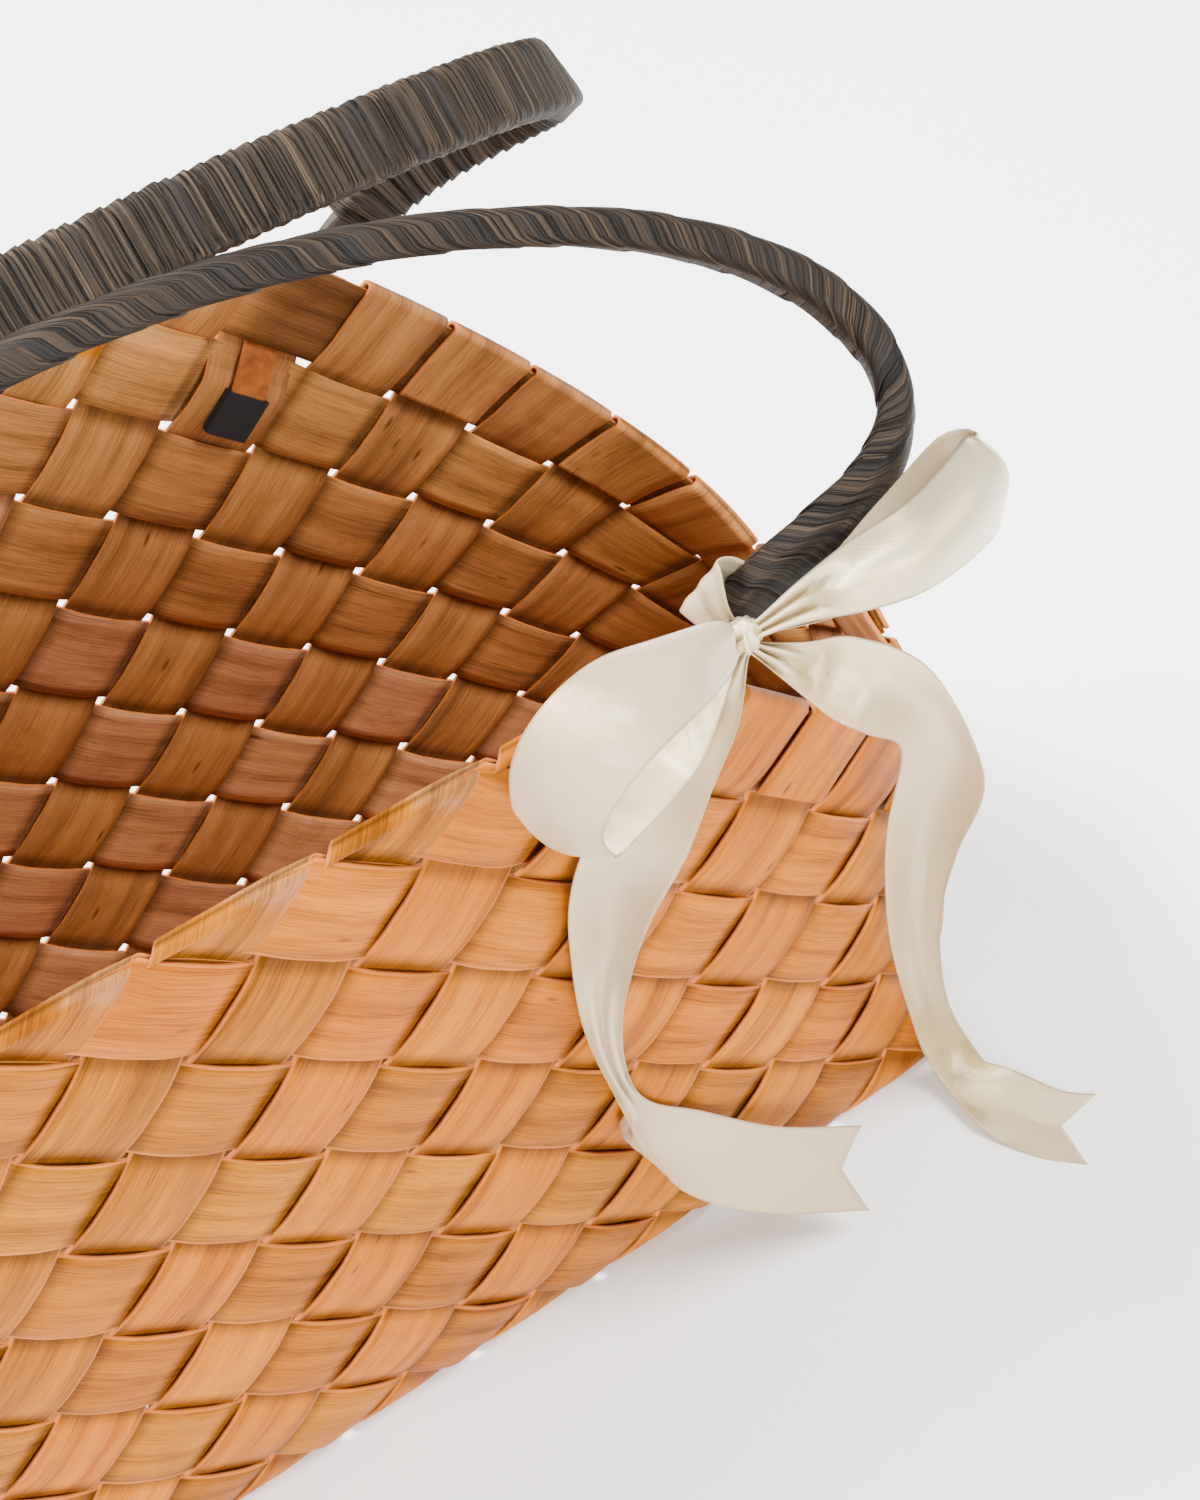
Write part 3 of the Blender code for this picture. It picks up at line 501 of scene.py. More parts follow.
def turn_back(past: np.ndarray, radius: float) -> tuple[np.ndarray, np.ndarray]:
    """Fold a flat run of places back over an edge.

    Args:
        past: How far each place would lie past the fold.
        radius: The fold's radius.

    Returns:
        How far past the fold each place comes to lie, and the sine of its turn.
    """
    angle = np.clip(past / radius, -QUARTER_TURN, QUARTER_TURN)
    bent = radius * np.cos(angle) - QUARTER_TURN * radius
    return np.where(np.abs(past) < QUARTER_TURN * radius, bent, -np.abs(past)), np.sin(angle)


def object_from(shape: bmesh.types.BMesh, name: str) -> bpy.types.Object:
    """Turn a finished shape into an object of the scene.

    Args:
        shape: The shape, which is freed.
        name: The name of the mesh and the object.

    Returns:
        The new object.
    """
    mesh = bpy.data.meshes.new(name)
    shape.to_mesh(mesh)
    shape.free()
    item = bpy.data.objects.new(name, mesh)
    bpy.context.scene.collection.objects.link(item)
    return item


def strip_object(
    name: str,
    points: np.ndarray,
    uv: np.ndarray,
    thickness: float,
    attributes: dict[str, np.ndarray] | None = None,
    close_ring: bool = False,
) -> bpy.types.Object:
    """Bend a grid into a strip of rows and columns and give it a wall.

    Args:
        name: The new object's name.
        points: Rows by columns by three, in metres.
        uv: Rows by columns by two, in metres.
        thickness: The wall, made about the middle by a Solidify modifier.
        attributes: Values for each point, by name.
        close_ring: Whether the last row meets the first.

    Returns:
        The new object.
    """
    rows, columns = points.shape[:2]
    shape = bmesh.new()
    layer = shape.loops.layers.uv.new("strip")
    bmesh.ops.create_grid(shape, x_segments=columns - 1, y_segments=rows - 1, size=1.0, calc_uvs=True)
    shape.verts.ensure_lookup_table()
    spots = {}
    for vert in shape.verts:
        column = round((vert.co.x + 1.0) * 0.5 * (columns - 1))
        row = round((vert.co.y + 1.0) * 0.5 * (rows - 1))
        spots[vert] = (row, column)
        vert.co = points[row, column]
    for face in shape.faces:
        for loop in face.loops:
            loop[layer].uv = uv[spots[loop.vert]]
        face.smooth = True
    order = [spots[vert] for vert in shape.verts]
    if close_ring:
        bmesh.ops.remove_doubles(shape, verts=shape.verts, dist=0.01 * MM)
    item = object_from(shape, name)
    if attributes and not close_ring:
        for key, values in attributes.items():
            made = item.data.attributes.new(key, "FLOAT", "POINT")
            made.data.foreach_set("value", [float(values[spot]) for spot in order])
    wall = item.modifiers.new("wall", "SOLIDIFY")
    wall.thickness = thickness
    wall.offset = 0.0
    wall.use_even_offset = False
    return item


@dataclass(frozen=True)
class BasketForm:
    """The plaited body's shape, in the same sizes as the frame."""

    pitch: float = 25.0 * MM
    splint_width: float = 22.5 * MM
    splint_thickness: float = 0.9 * MM
    layer_air: float = 0.8 * MM
    border_air: float = 0.7 * MM
    tang_room: float = 2.25 * MM
    round_tang: tuple = ((0.42, 1.15 * MM), (0.56, 3.2 * MM), (1.0, 3.3 * MM))
    half_length: int = 9
    half_width: int = 4
    rim: int = 12
    foot: int = 5
    notch: int = 11
    rim_half_width: float = 75.0 * MM
    squareness: float = 4.0
    round_steps: float = 3.0
    round_power: float = 2.5
    settle_share: float = 0.21
    settle_power: int = 4
    fold_radius: float = 9.0 * MM
    outline_points: int = 161
    tolerance: float = 1e-7
    quarter: np.ndarray = field(init=False, repr=False, compare=False)

    def __post_init__(self) -> None:
        """Work out one quarter of the rim's outline."""
        low, high = self.end * self.step - self.rim_half_width, self.end * self.step
        while high - low > self.tolerance:
            middle = 0.5 * (low + high)
            if self._trace(middle)[0, -1] < self.end * self.step:
                low = middle
            else:
                high = middle
        object.__setattr__(self, "quarter", self._trace(low))

    @property
    def step(self) -> float:
        """Length of a grid step."""
        return self.pitch * ROOT_HALF

    @property
    def end(self) -> int:
        """Steps from mid side to mid end."""
        return self.half_length + self.half_width

    @property
    def half_band(self) -> float:
        """Half a splint's width as a share of the pitch."""
        return 0.5 * self.splint_width / self.pitch

    @property
    def plain(self) -> float:
        """How far a splint lies from the wall's middle at a plain crossing."""
        return 0.5 * (self.splint_thickness + self.layer_air)

    @property
    def border(self) -> float:
        """How far a splint lies from one that edges the rim."""
        return self.splint_thickness + self.border_air

    @property
    def underside(self) -> float:
        """Height of the base's middle over the floor."""
        return self.plain + 0.5 * self.splint_thickness

    def _trace(self, half_length: float) -> np.ndarray:
        """Return travel, x and y along a quarter of the rim of a given half length.

        Args:
            half_length: Half the rim's length.

        Returns:
            Three rows of numbers: travel, x and y.
        """
        turn = np.linspace(0.0, QUARTER_TURN, self.outline_points)
        power = 2.0 / self.squareness
        x = half_length * np.sin(turn) ** power
        y = self.rim_half_width * np.clip(np.cos(turn), 0.0, None) ** power
        travel = np.concatenate([[0.0], np.cumsum(np.hypot(np.diff(x), np.diff(y)))])
        return np.stack([travel, x, y])

    def wall(self, p: np.ndarray, q: np.ndarray) -> np.ndarray:
        """Return the middle of the wall at P steps round and Q steps up.

        Args:
            p: Steps round the outline from the middle of the near side.
            q: Steps up the wall.

        Returns:
            Points, with x, y and z along the last axis.
        """
        p = (p + self.end) % (4 * self.end) - self.end
        far = p > self.end
        p = np.where(far, 2 * self.end - p, p)
        travel = np.abs(p) * self.step
        rim_x = np.interp(travel, self.quarter[0], self.quarter[1])
        rim_y = np.interp(travel, self.quarter[0], self.quarter[2])
        base_x = np.minimum(travel, self.half_length * self.step)
        base_y = self.half_width * self.step - np.maximum(travel - self.half_length * self.step, 0.0)
        share = 1.0 - (1.0 - np.clip(q / self.round_steps, 0.0, 1.0)) ** self.round_power
        x = base_x + share * (rim_x - base_x)
        y = base_y + share * (rim_y - base_y)
        settled = self.settle_share * (x / self.quarter[1, -1]) ** self.settle_power
        z = q * self.step * (1.0 - settled)
        return np.stack([np.sign(p) * x, np.where(far, y, -y), z], -1)

    def unfold(self, edge: str, x: np.ndarray, y: np.ndarray) -> tuple[np.ndarray, np.ndarray]:
        """Return P and Q of a flat grid place, for a splint that leaves by an edge.

        Args:
            edge: The base's edge by its side: near, right, far or left.
            x: Grid steps along the base.
            y: Grid steps across it.

        Returns:
            Steps round the outline and steps up the wall.
        """
        if edge == "near":
            return x, -self.half_width - y
        if edge == "right":
            return self.end + y, x - self.half_length
        if edge == "far":
            return 2 * self.end - x, y - self.half_width
        return 3 * self.end - y, -self.half_length - x

    def surface(self, edge: str, p: np.ndarray, q: np.ndarray) -> np.ndarray:
        """Return the middle surface, rounded where the base turns up into the wall.

        Args:
            edge: The base's edge that the wall stands on.
            p: Steps round the outline.
            q: Steps up the wall, negative on the base.

        Returns:
            Points, with x, y and z along the last axis.
        """
        inward = {"near": (0.0, 1.0), "right": (-1.0, 0.0), "far": (0.0, -1.0), "left": (1.0, 0.0)}[edge]
        travel = q * self.step
        r = self.fold_radius
        rise = np.where(travel > r, travel, np.where(travel < -r, 0.0, (travel + r) ** 2 / (4.0 * r)))
        inset = np.where(travel > r, 0.0, np.where(travel < -r, -travel, (r - travel) ** 2 / (4.0 * r)))
        place = self.wall(p, rise / self.step)
        place[..., 0] += inward[0] * inset
        place[..., 1] += inward[1] * inset
        return place

    def outward(self, edge: str, p: np.ndarray, q: np.ndarray) -> np.ndarray:
        """Return the unit normal that points out of the basket.

        Args:
            edge: The base's edge that the wall stands on.
            p: Steps round the outline.
            q: Steps up the wall, negative on the base.

        Returns:
            Unit vectors along the last axis.
        """
        reach = 0.5
        round_it = self.surface(edge, p + reach, q) - self.surface(edge, p - reach, q)
        up_it = self.surface(edge, p, q + reach) - self.surface(edge, p, q - reach)
        across = np.cross(round_it, up_it)
        return across / np.maximum(np.linalg.norm(across, axis=-1, keepdims=True), 1e-12)

    def top_row(self, p: float) -> int:
        """Return the row of the highest whole crossing above a place round the outline.

        Args:
            p: Steps round the outline.

        Returns:
            The row's number, counted up from the base.
        """
        x = abs(self.side_place(p))
        if x <= self.foot:
            return self.rim - 1 if x % 2 == 1 else self.rim - 2
        if x <= self.notch:
            return self.foot + self.rim - 1 - x
        return x + self.foot + self.rim - 1 - 2 * self.notch

    def side_place(self, p: float) -> float:
        """Return the signed steps from the middle of the nearer long side."""
        return (p + self.end) % (2 * self.end) - self.end

    def is_rim_fold(self, p: float, q: float) -> bool:
        """Tell whether a crossing is cut in half by the level rim."""
        return q == self.rim and abs(self.side_place(p)) < self.foot

    def is_foot(self, p: float, q: float) -> bool:
        """Tell whether a handle leg goes through a crossing."""
        return q == self.rim - 1 and abs(self.side_place(p)) == self.foot

    def is_border(self, p: float, q: float) -> bool:
        """Tell whether a crossing lies on a splint that edges the sloping rim."""
        x = abs(self.side_place(p))
        return x >= self.foot and x != self.notch and q == self.top_row(p)

    def border_rises(self, p: float) -> bool:
        """Tell whether the splint that edges the rim here climbs towards larger P.

        Args:
            p: Steps round the outline.

        Returns:
            Whether it climbs.
        """
        place = self.side_place(p)
        if abs(place) < self.notch:
            return place < 0
        return self.notch < place < self.end


@dataclass
class Arm:
    """One end of a splint: its base edge, its crossings' layers and how it stops."""

    heading: int
    edge: str
    knots: list[tuple[float, float]]
    end: End
    last: float
    fold: float = 0.0
    side: float = 1.0


@dataclass
class Splint:
    """One splint of the weave, bent from a flat strip."""

    form: BasketForm
    family: Family
    line: int
    number: int
    samples: int = 14
    columns: int = 9
    bulge: float = 0.42 * MM
    cup: float = 0.20 * MM
    wander: float = 0.14 * MM
    # How much a splint's width varies, and how far it slips sideways as a share of the pitch
    width_play: float = 0.022
    side_play: float = 0.012
    # How far an end runs on past its last crossing, and the reach of a fold, in grid steps
    tang_stop: float = 0.1
    leg_stop: float = 1.4
    folded_stop: float = 1.45
    tucked_stop: float = 2.4
    wrap_air: float = 0.11
    wrap_tail: float = 0.42
    fold_reach: float = 0.14
    fold_step: float = 0.014
    cut_back: float = 0.03
    # The base lies flat up to the first height, and the surface is fully uneven from the second on
    flat_height: float = 4.0 * MM
    uneven_height: float = 24.0 * MM

    @property
    def name(self) -> str:
        """Name of the frame's node that this splint stands for."""
        return f"splint_{self.family.value}_{self.number:02d}"

    def centre(self, k: np.ndarray | float) -> tuple[np.ndarray | float, np.ndarray | float]:
        """Return the flat grid place of crossing k."""
        return k, (self.line - k) if self.family is Family.A else (k - self.line)

    def edge_of(self, heading: int) -> tuple[str, int]:
        """Return the base edge by which the splint leaves, and the crossing on that edge.

        Args:
            heading: Which of the splint's two ends, +1 or -1.

        Returns:
            The edge's side and the crossing's number.
        """
        form = self.form
        near, far = ("near", "far") if self.family is Family.A else ("far", "near")
        if heading > 0:
            reach = self.line + form.half_width
            return ("right", form.half_length) if reach > form.half_length else (near, reach)
        reach = self.line - form.half_width
        return ("left", -form.half_length) if reach < -form.half_length else (far, reach)

    def layer(self, p: float, q: float, outside: bool, rising: bool) -> float:
        """Return how far outside the middle of the wall the splint lies at a crossing.

        Args:
            p: Steps round the outline.
            q: Steps up the wall.
            outside: Whether the plait's count puts the splint outside here.
            rising: Whether it climbs towards larger P.

        Returns:
            The distance, positive outwards.
        """
        form = self.form
        x = abs(form.side_place(p))
        side = 1.0 if outside else -1.0
        if form.is_border(p, q):
            return 0.0 if rising == form.border_rises(p) else side * form.border
        if form.is_rim_fold(p, q):
            return form.border if rising else 0.0
        if q == form.rim - 1 and x < form.foot:
            return side * form.border
        if q == form.rim - 2 and x == form.foot - 1:
            return side * form.tang_room
        return side * (form.plain + self.bulge)

    def arm(self, heading: int, start: int) -> Arm:
        """Follow the splint from a crossing outwards to its end.

        Args:
            heading: Which end, +1 or -1.
            start: The crossing that it starts from.

        Returns:
            The arm, with the layer at each of its crossings.
        """
        form = self.form
        edge = self.edge_of(heading)[0]

        def place(k: int) -> tuple[float, float]:
            """Return the steps round and up of crossing k."""
            return form.unfold(edge, *self.centre(k))

        rising = place(start + heading)[0] > place(start)[0]
        knots = []
        k = start
        while True:
            p, q = place(k)
            outside = (k % 2 == 0) == (self.family is Family.A)
            height = form.plain if outside else -form.plain
            if q > 0:
                height = self.layer(p, q, outside, rising)
            knots.append((k * heading, height))
            next_p, next_q = place(k + heading)
            if form.is_foot(next_p, next_q) and rising != form.border_rises(next_p):
                if height > 0.0:
                    return Arm(heading, edge, knots, End.TANG, k * heading + self.tang_stop)
                knots += [(k * heading + share, lift) for share, lift in form.round_tang]
                return Arm(heading, edge, knots, End.HELD, k * heading + self.leg_stop)
            if next_q > 0 and next_q > form.top_row(next_p):
                break
            k += heading
        here = k * heading
        if form.is_rim_fold(next_p, next_q):
            if rising:
                knots.append((here + 1.0, form.border))
                tucked = form.side_place(next_p) + 1 < form.foot
                stop = here + (self.tucked_stop if tucked else self.folded_stop)
                return Arm(heading, edge, knots, End.FOLDED, stop, here + 1.0)
            knots.append((here + 1.0, 0.0))
            return Arm(heading, edge, knots, End.CUT, here + 1.0)
        if rising != form.border_rises(p):
            side = math.copysign(1.0, height)
            fold = here + form.half_band + self.wrap_air
            return Arm(heading, edge, knots, End.WRAPPED, 2.0 * fold - here + self.wrap_tail, fold, side)
        return Arm(heading, edge, knots, End.HELD, here + form.half_band)

    def rows(self, arm: Arm, start: float) -> tuple[np.ndarray, np.ndarray]:
        """Return the rows' places along an arm and how far each is sheared to meet the rim.

        Args:
            arm: The arm.
            start: Where it begins, as its own distance along the splint.

        Returns:
            The rows' places in grid steps, and shares of a full shear.
        """
        spacing = 1.0 / self.samples
        t = np.arange(start, arm.last, spacing)
        if arm.end in (End.FOLDED, End.WRAPPED):
            fine = np.arange(arm.fold - self.fold_reach, arm.fold + self.fold_reach, self.fold_step)
            t = np.concatenate([t[(t < fine[0] - 0.01) | (t > fine[-1] + 0.01)], fine])
        t = np.sort(np.append(t[t < arm.last - 0.3 * spacing], arm.last))
        # Rows turn level with the rim over the last step before it, and turn back past the fold
        lead, ease, past = 0.95, 0.8, 0.2
        shear = np.zeros_like(t)
        if arm.end is End.FOLDED:
            shear = smoothstep((t - (arm.fold - lead)) / ease)
            back = 1.0 - 0.9 * smoothstep((t - arm.fold - past) / ease)
            shear = np.where(t > arm.fold + past, back, shear)
        if arm.end is End.CUT:
            shear = smoothstep((t - (arm.last - lead)) / 0.85)
        return t, shear

    def bend(self, arm: Arm, start: float) -> tuple[np.ndarray, np.ndarray, np.ndarray, np.ndarray]:
        """Bend one arm of the strip into the weave.

        Args:
            arm: The arm.
            start: Where the arm begins, as its own distance along the splint.

        Returns:
            Points, flat UV places, rise values and shares turned over, by row and column.
        """
        form = self.form
        t, shear = self.rows(arm, start)
        v = np.linspace(-form.half_band, form.half_band, self.columns)
        run = t * arm.heading
        seed = self.number * 3.7 + (0.0 if self.family is Family.A else 50.0)
        width = 1.0 + self.width_play * waver(run * 1.3, seed, 0.0)
        slide = self.side_play * waver(run * 0.9, seed, 9.0)
        across = v[None, :] * width[:, None] + slide[:, None]
        along = t[:, None] - shear[:, None] * across * self.climb(arm)
        if arm.end is End.CUT:
            along = along - self.cut_back * smoothstep((t[:, None] - arm.last + 0.5) / 0.5)

        u = along.copy()
        if arm.end is End.WRAPPED:
            past, sine = turn_back(u - arm.fold, form.border / form.pitch)
            u = arm.fold + past
        k = u * arm.heading
        x, y = self.centre(k)
        if self.family is Family.A:
            x, y = x + across, y + across
        else:
            x, y = x + across, y - across
        p, q = form.unfold(arm.edge, x, y)

        times, heights = np.array(arm.knots).T
        held_u = u if arm.end is End.WRAPPED else np.minimum(u, times[-1])
        height = self.weave_height(held_u, times, heights)
        if arm.end is End.WRAPPED:
            wait, ease = 0.1, 0.25
            held = smoothstep((along - (times[-1] + wait)) / ease)
            height = height * (1.0 - held) + arm.side * form.border * -sine * held
        if arm.end is End.FOLDED:
            over = (q - form.rim) * form.step
            drop, sine = turn_back(over, form.border)
            q = form.rim + drop / form.step
            wait, ease = 0.28, 0.4
            back = smoothstep((along - arm.fold - wait) / ease)
            near_fold = over > -1.2 * QUARTER_TURN * form.border
            height = np.where(near_fold, -form.border * sine * (1.0 - back), height)

        rise = np.clip(height / (form.plain + self.bulge), -1.0, 1.0)
        dome = self.cup * np.sign(height) * np.abs(rise) * (1.0 - (across / form.half_band) ** 2)
        rough = np.array([[noise.noise(Vector((a * 1.7, b * 2.5, seed))) for b in v] for a in run])
        away = smoothstep((q * form.step - self.flat_height) / (self.uneven_height - self.flat_height))
        middle = form.surface(arm.edge, p, q)
        normal = form.outward(arm.edge, p, q)
        lift = height + (dome + rough * self.wander) * away
        points = middle + normal * lift[..., None]
        points[..., 2] += form.underside
        uv = np.stack([along * arm.heading * form.pitch, across * form.pitch], -1)
        turned = smoothstep((along - arm.fold) / 0.06) if arm.fold else np.zeros_like(along)
        return points, uv, rise, turned

    def climb(self, arm: Arm) -> float:
        """Return +1 or -1: how a place on the positive side of the strip sits higher up the wall.

        Args:
            arm: The arm.

        Returns:
            The sign.
        """
        form = self.form
        x, y = self.centre(float(arm.knots[-1][0] * arm.heading))
        step = 0.1
        side = (step, step) if self.family is Family.A else (step, -step)
        low = form.unfold(arm.edge, x, y)[1]
        return math.copysign(1.0, form.unfold(arm.edge, x + side[0], y + side[1])[1] - low)

    @staticmethod
    def weave_height(u: np.ndarray, times: np.ndarray, heights: np.ndarray) -> np.ndarray:
        """Ease from one crossing's layer to the next.

        Args:
            u: Places along the arm, in grid steps.
            times: The crossings' places.
            heights: The crossings' layers.

        Returns:
            The height at each place.
        """
        slope = 0.76
        index = np.clip(np.searchsorted(times, u, side="right") - 1, 0, len(times) - 2)
        share = np.clip((u - times[index]) / (times[index + 1] - times[index]), 0.0, 1.0)
        eased = smoothstep((share - 0.5) / slope + 0.5)
        return heights[index] * (1.0 - eased) + heights[index + 1] * eased

    def build(self, finishes: list[bpy.types.Material]) -> bpy.types.Object:
        """Make the splint and dress it.

        Args:
            finishes: Materials for the outer face, the inner face and the edges.

        Returns:
            The finished object, in place of its frame node.
        """
        middle = (self.edge_of(1)[1] + self.edge_of(-1)[1]) // 2
        ahead = self.arm(1, middle)
        behind = self.arm(-1, middle + 1)
        ahead.knots.insert(0, self.base_knot(middle - 1, 1))
        behind.knots.insert(0, self.base_knot(middle + 2, -1))
        front = self.bend(ahead, middle + 0.5)
        back = self.bend(behind, -(middle + 0.5))
        points, uv, rise, turned = (np.concatenate([b[:0:-1], f]) for b, f in zip(back, front))
        row = 2.0 if self.family is Family.A else 8.0
        tone = 0.5 + 0.5 * noise.noise(Vector((self.number * 5.3, row, 0.4)))
        uv = uv + np.array([self.number * 0.37, 0.0])
        # The rise also sets the painted shade on the wood where a splint dips under another
        values = {"tone": np.full(rise.shape, tone), "rise": np.abs(rise), "turned": turned}
        item = strip_object(self.name + "_strip", points, uv, self.form.splint_thickness, values)
        for finish in finishes:
            item.data.materials.append(finish)
        wall = item.modifiers["wall"]
        wall.material_offset = 1
        wall.material_offset_rim = 2
        self.face_outwards(item)
        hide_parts(self.name)
        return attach(item, ROOT)

    def base_knot(self, k: int, heading: int) -> tuple[float, float]:
        """Return the layer at a crossing just before an arm begins."""
        outside = (k % 2 == 0) == (self.family is Family.A)
        return float(k * heading), self.form.plain if outside else -self.form.plain

    def face_outwards(self, item: bpy.types.Object) -> None:
        """Turn the sheet so that its own side is the outer one on the base.

        Args:
            item: The splint's object.
        """
        mesh = item.data
        base = [face for face in mesh.polygons if face.center.z < self.flat_height]
        if base and sum(face.normal.z for face in base) > 0.0:
            mesh.flip_normals()


@dataclass
class SplintWeave:
    """All the splints of the body."""

    form: BasketForm = field(default_factory=BasketForm)
    tones: dict[tuple[Family, Face], tuple[str, str, str]] = field(
        default_factory=lambda: {
            (Family.A, Face.OUTER): ("#B8690E", "#A15908", "#743A03"),
            (Family.B, Face.OUTER): ("#A5610C", "#8C4F08", "#5F3203"),
            (Family.A, Face.INNER): ("#BA8358", "#A36F49", "#795135"),
            (Family.B, Face.INNER): ("#AD7641", "#946236", "#6A4525"),
            (Family.A, Face.EDGE): ("#C07A38", "#A96425", "#82470F"),
            (Family.B, Face.EDGE): ("#C07A38", "#A96425", "#82470F"),
        }
    )

    def finishes(self, family: Family) -> list[bpy.types.Material]:
        """Return the outer, inner and edge finishes of a family.

        Args:
            family: The family.

        Returns:
            The finishes, in that order.
        """
        other = {Face.OUTER: Face.INNER, Face.INNER: Face.OUTER, Face.EDGE: Face.EDGE}
        return [
            SplintFinish(family, face, self.tones[family, face], self.tones[family, other[face]]).material()
            for face in Face
        ]

    def build(self) -> list[bpy.types.Object]:
        """Make every splint of both families.

        Returns:
            The splints' objects.
        """
        made = []
        for family in Family:
            finishes = self.finishes(family)
            lines = range(1 - self.form.end, self.form.end, 2)
            for number, line in enumerate(lines, start=1):
                made.append(Splint(self.form, family, line, number).build(finishes))
        return made


@dataclass
class HandleWrap:
    """The bark strip wound round one handle, drawn over the handle's core."""

    form: BasketForm
    label: str
    side: float
    lean: float
    sway: float
    core_width: float
    turn_pitch: float
    core_thickness: float = 3.0 * MM
    reach: float = 142.3 * MM
    rise: float = 99.2 * MM
    shoulder: float = 27.3 * MM
    fullness: float = 1.85
    twist: float = 105.0 * MM
    rim_share: float = 2.0
    bend_share: float = 0.4
    leg_points: int = 61
    arch_points: int = 121
    first: float = 1.0 * MM
    seat: float = 1.60 * MM
    squareness: float = 5.0
    strip: float = 0.35 * MM
    shingle: float = 0.45 * MM
    jog: float = 0.9 * MM
    around: int = 28
    lap: float = 1.2
    layers: int = 1
    torn_step: float = 0.006
    overrun: float = 0.8
    swelling: float = 0.10
    frayed: float = 2.2 * MM
    thickening: float = 0.22 * MM

    def path(self) -> tuple[np.ndarray, np.ndarray]:
        """Return the handle's line from rim to rim and the width direction along it.

        Returns:
            Points, and unit vectors across the handle at them.
        """
        form = self.form
        up = np.array([0.0, -self.side * math.sin(self.lean), math.cos(self.lean)])
        flat = np.array([0.0, -self.side * math.cos(self.lean), -math.sin(self.lean)])
        foot = np.array([self.sway, self.side * form.rim_half_width, form.rim * form.step + form.underside])
        halves = []
        for end in (-1.0, 1.0):
            start = self.leg_point(end, self.rim_share)
            heading = start - self.leg_point(end, self.rim_share - self.bend_share)
            heading /= np.linalg.norm(heading)
            across = np.array([end, 0.0, -1.0]) * ROOT_HALF
            shoulder = foot + np.array([end * self.reach, 0.0, 0.0]) + up * self.shoulder
            bend = self.bend_share * np.linalg.norm(shoulder - start)
            # The leg leaves the wall in the wall's direction and meets the arch in the arch's
            u = np.linspace(0.0, 1.0, self.leg_points)[:, None]
            curve = (
                (1 - u) ** 3 * start
                + 3 * u * (1 - u) ** 2 * (start + heading * bend)
                + 3 * u * u * (1 - u) * (shoulder - up * bend)
                + u**3 * shoulder
            )
            turn = np.linspace(0.0, QUARTER_TURN, self.arch_points)[1:, None]
            power = 2.0 / self.fullness
            x = end * self.reach * np.clip(np.cos(turn), 0.0, None) ** power
            lift = self.shoulder + (self.rise - self.shoulder) * np.sin(turn) ** power
            arch = foot + x * np.array([1.0, 0.0, 0.0]) + lift * up
            line = np.concatenate([curve, arch])
            turned = smoothstep(travel_along(line) / self.twist)[:, None]
            halves.append((line, across * (1.0 - turned) + flat * turned))
        line = np.concatenate([halves[0][0], halves[1][0][-2::-1]])
        lean = np.concatenate([halves[0][1], halves[1][1][-2::-1]])
        return line, lean

    def leg_point(self, end: float, share: float) -> np.ndarray:
        """Return a place on the line that a leg follows through the wall.

        Args:
            end: Which leg: -1 left, +1 right.
            share: Crossings up from the lowest that it passes.

        Returns:
            The place.
        """
        form = self.form
        x = end * (form.foot - 1 + share)
        p = x if self.side < 0 else 2 * form.end - x
        place = form.wall(np.array(p), np.array(form.rim - 2 + share))
        return place + np.array([0.0, 0.0, form.underside])

    def section(self, turn: np.ndarray, room: np.ndarray) -> tuple[np.ndarray, np.ndarray]:
        """Return the rounded section of the wrapped handle at an angle, grown by some room.

        Args:
            turn: Angles round the handle.
            room: How far the section stands off the core.

        Returns:
            Distances across the handle and outwards.
        """
        power = 2.0 / self.squareness
        x = (0.5 * self.core_width + room) * np.sign(np.cos(turn)) * np.abs(np.cos(turn)) ** power
        y = (0.5 * self.core_thickness + room) * np.sign(np.sin(turn)) * np.abs(np.sin(turn)) ** power
        return x, y

    def build(self, bark: bpy.types.Material) -> bpy.types.Object:
        """Wind the strip round the handle, each turn lapping the one before.

        Args:
            bark: The strip's finish.

        Returns:
            The wrap, in place of its frame node.
        """
        line, lean = self.path()
        travel = travel_along(line)
        start, stop = self.first, travel[-1] - self.first
        width = self.turn_pitch * self.lap
        reach = stop - start + self.overrun * width
        total = round(reach / self.turn_pitch) * self.around
        count = np.arange(total + 1)
        turns = count / self.around
        turn = math.tau * count / self.around
        jog, swell, nick = (
            waver(turns * often, self.side, layer) for often, layer in ((0.9, 3.0), (1.7, 7.0), (6.0, 11.0))
        )
        middle = start - 0.5 * self.overrun * width + reach * count / total
        middle = (middle + self.jog * jog)[:, None]
        # A broad strip is drawn as several thin ones side by side, with a step where one ends
        edges = np.arange(1, self.layers) / self.layers - 0.5
        v = np.linspace(-0.5, 0.5, 5 + 2 * round(width / (4.0 * MM)))
        v = np.sort(np.concatenate([v, edges - self.torn_step, edges + self.torn_step]))
        spread = v * width * (1.0 + self.swelling * swell[:, None])
        spread = spread + (np.abs(v) > 0.49) * v * self.frayed * nick[:, None]
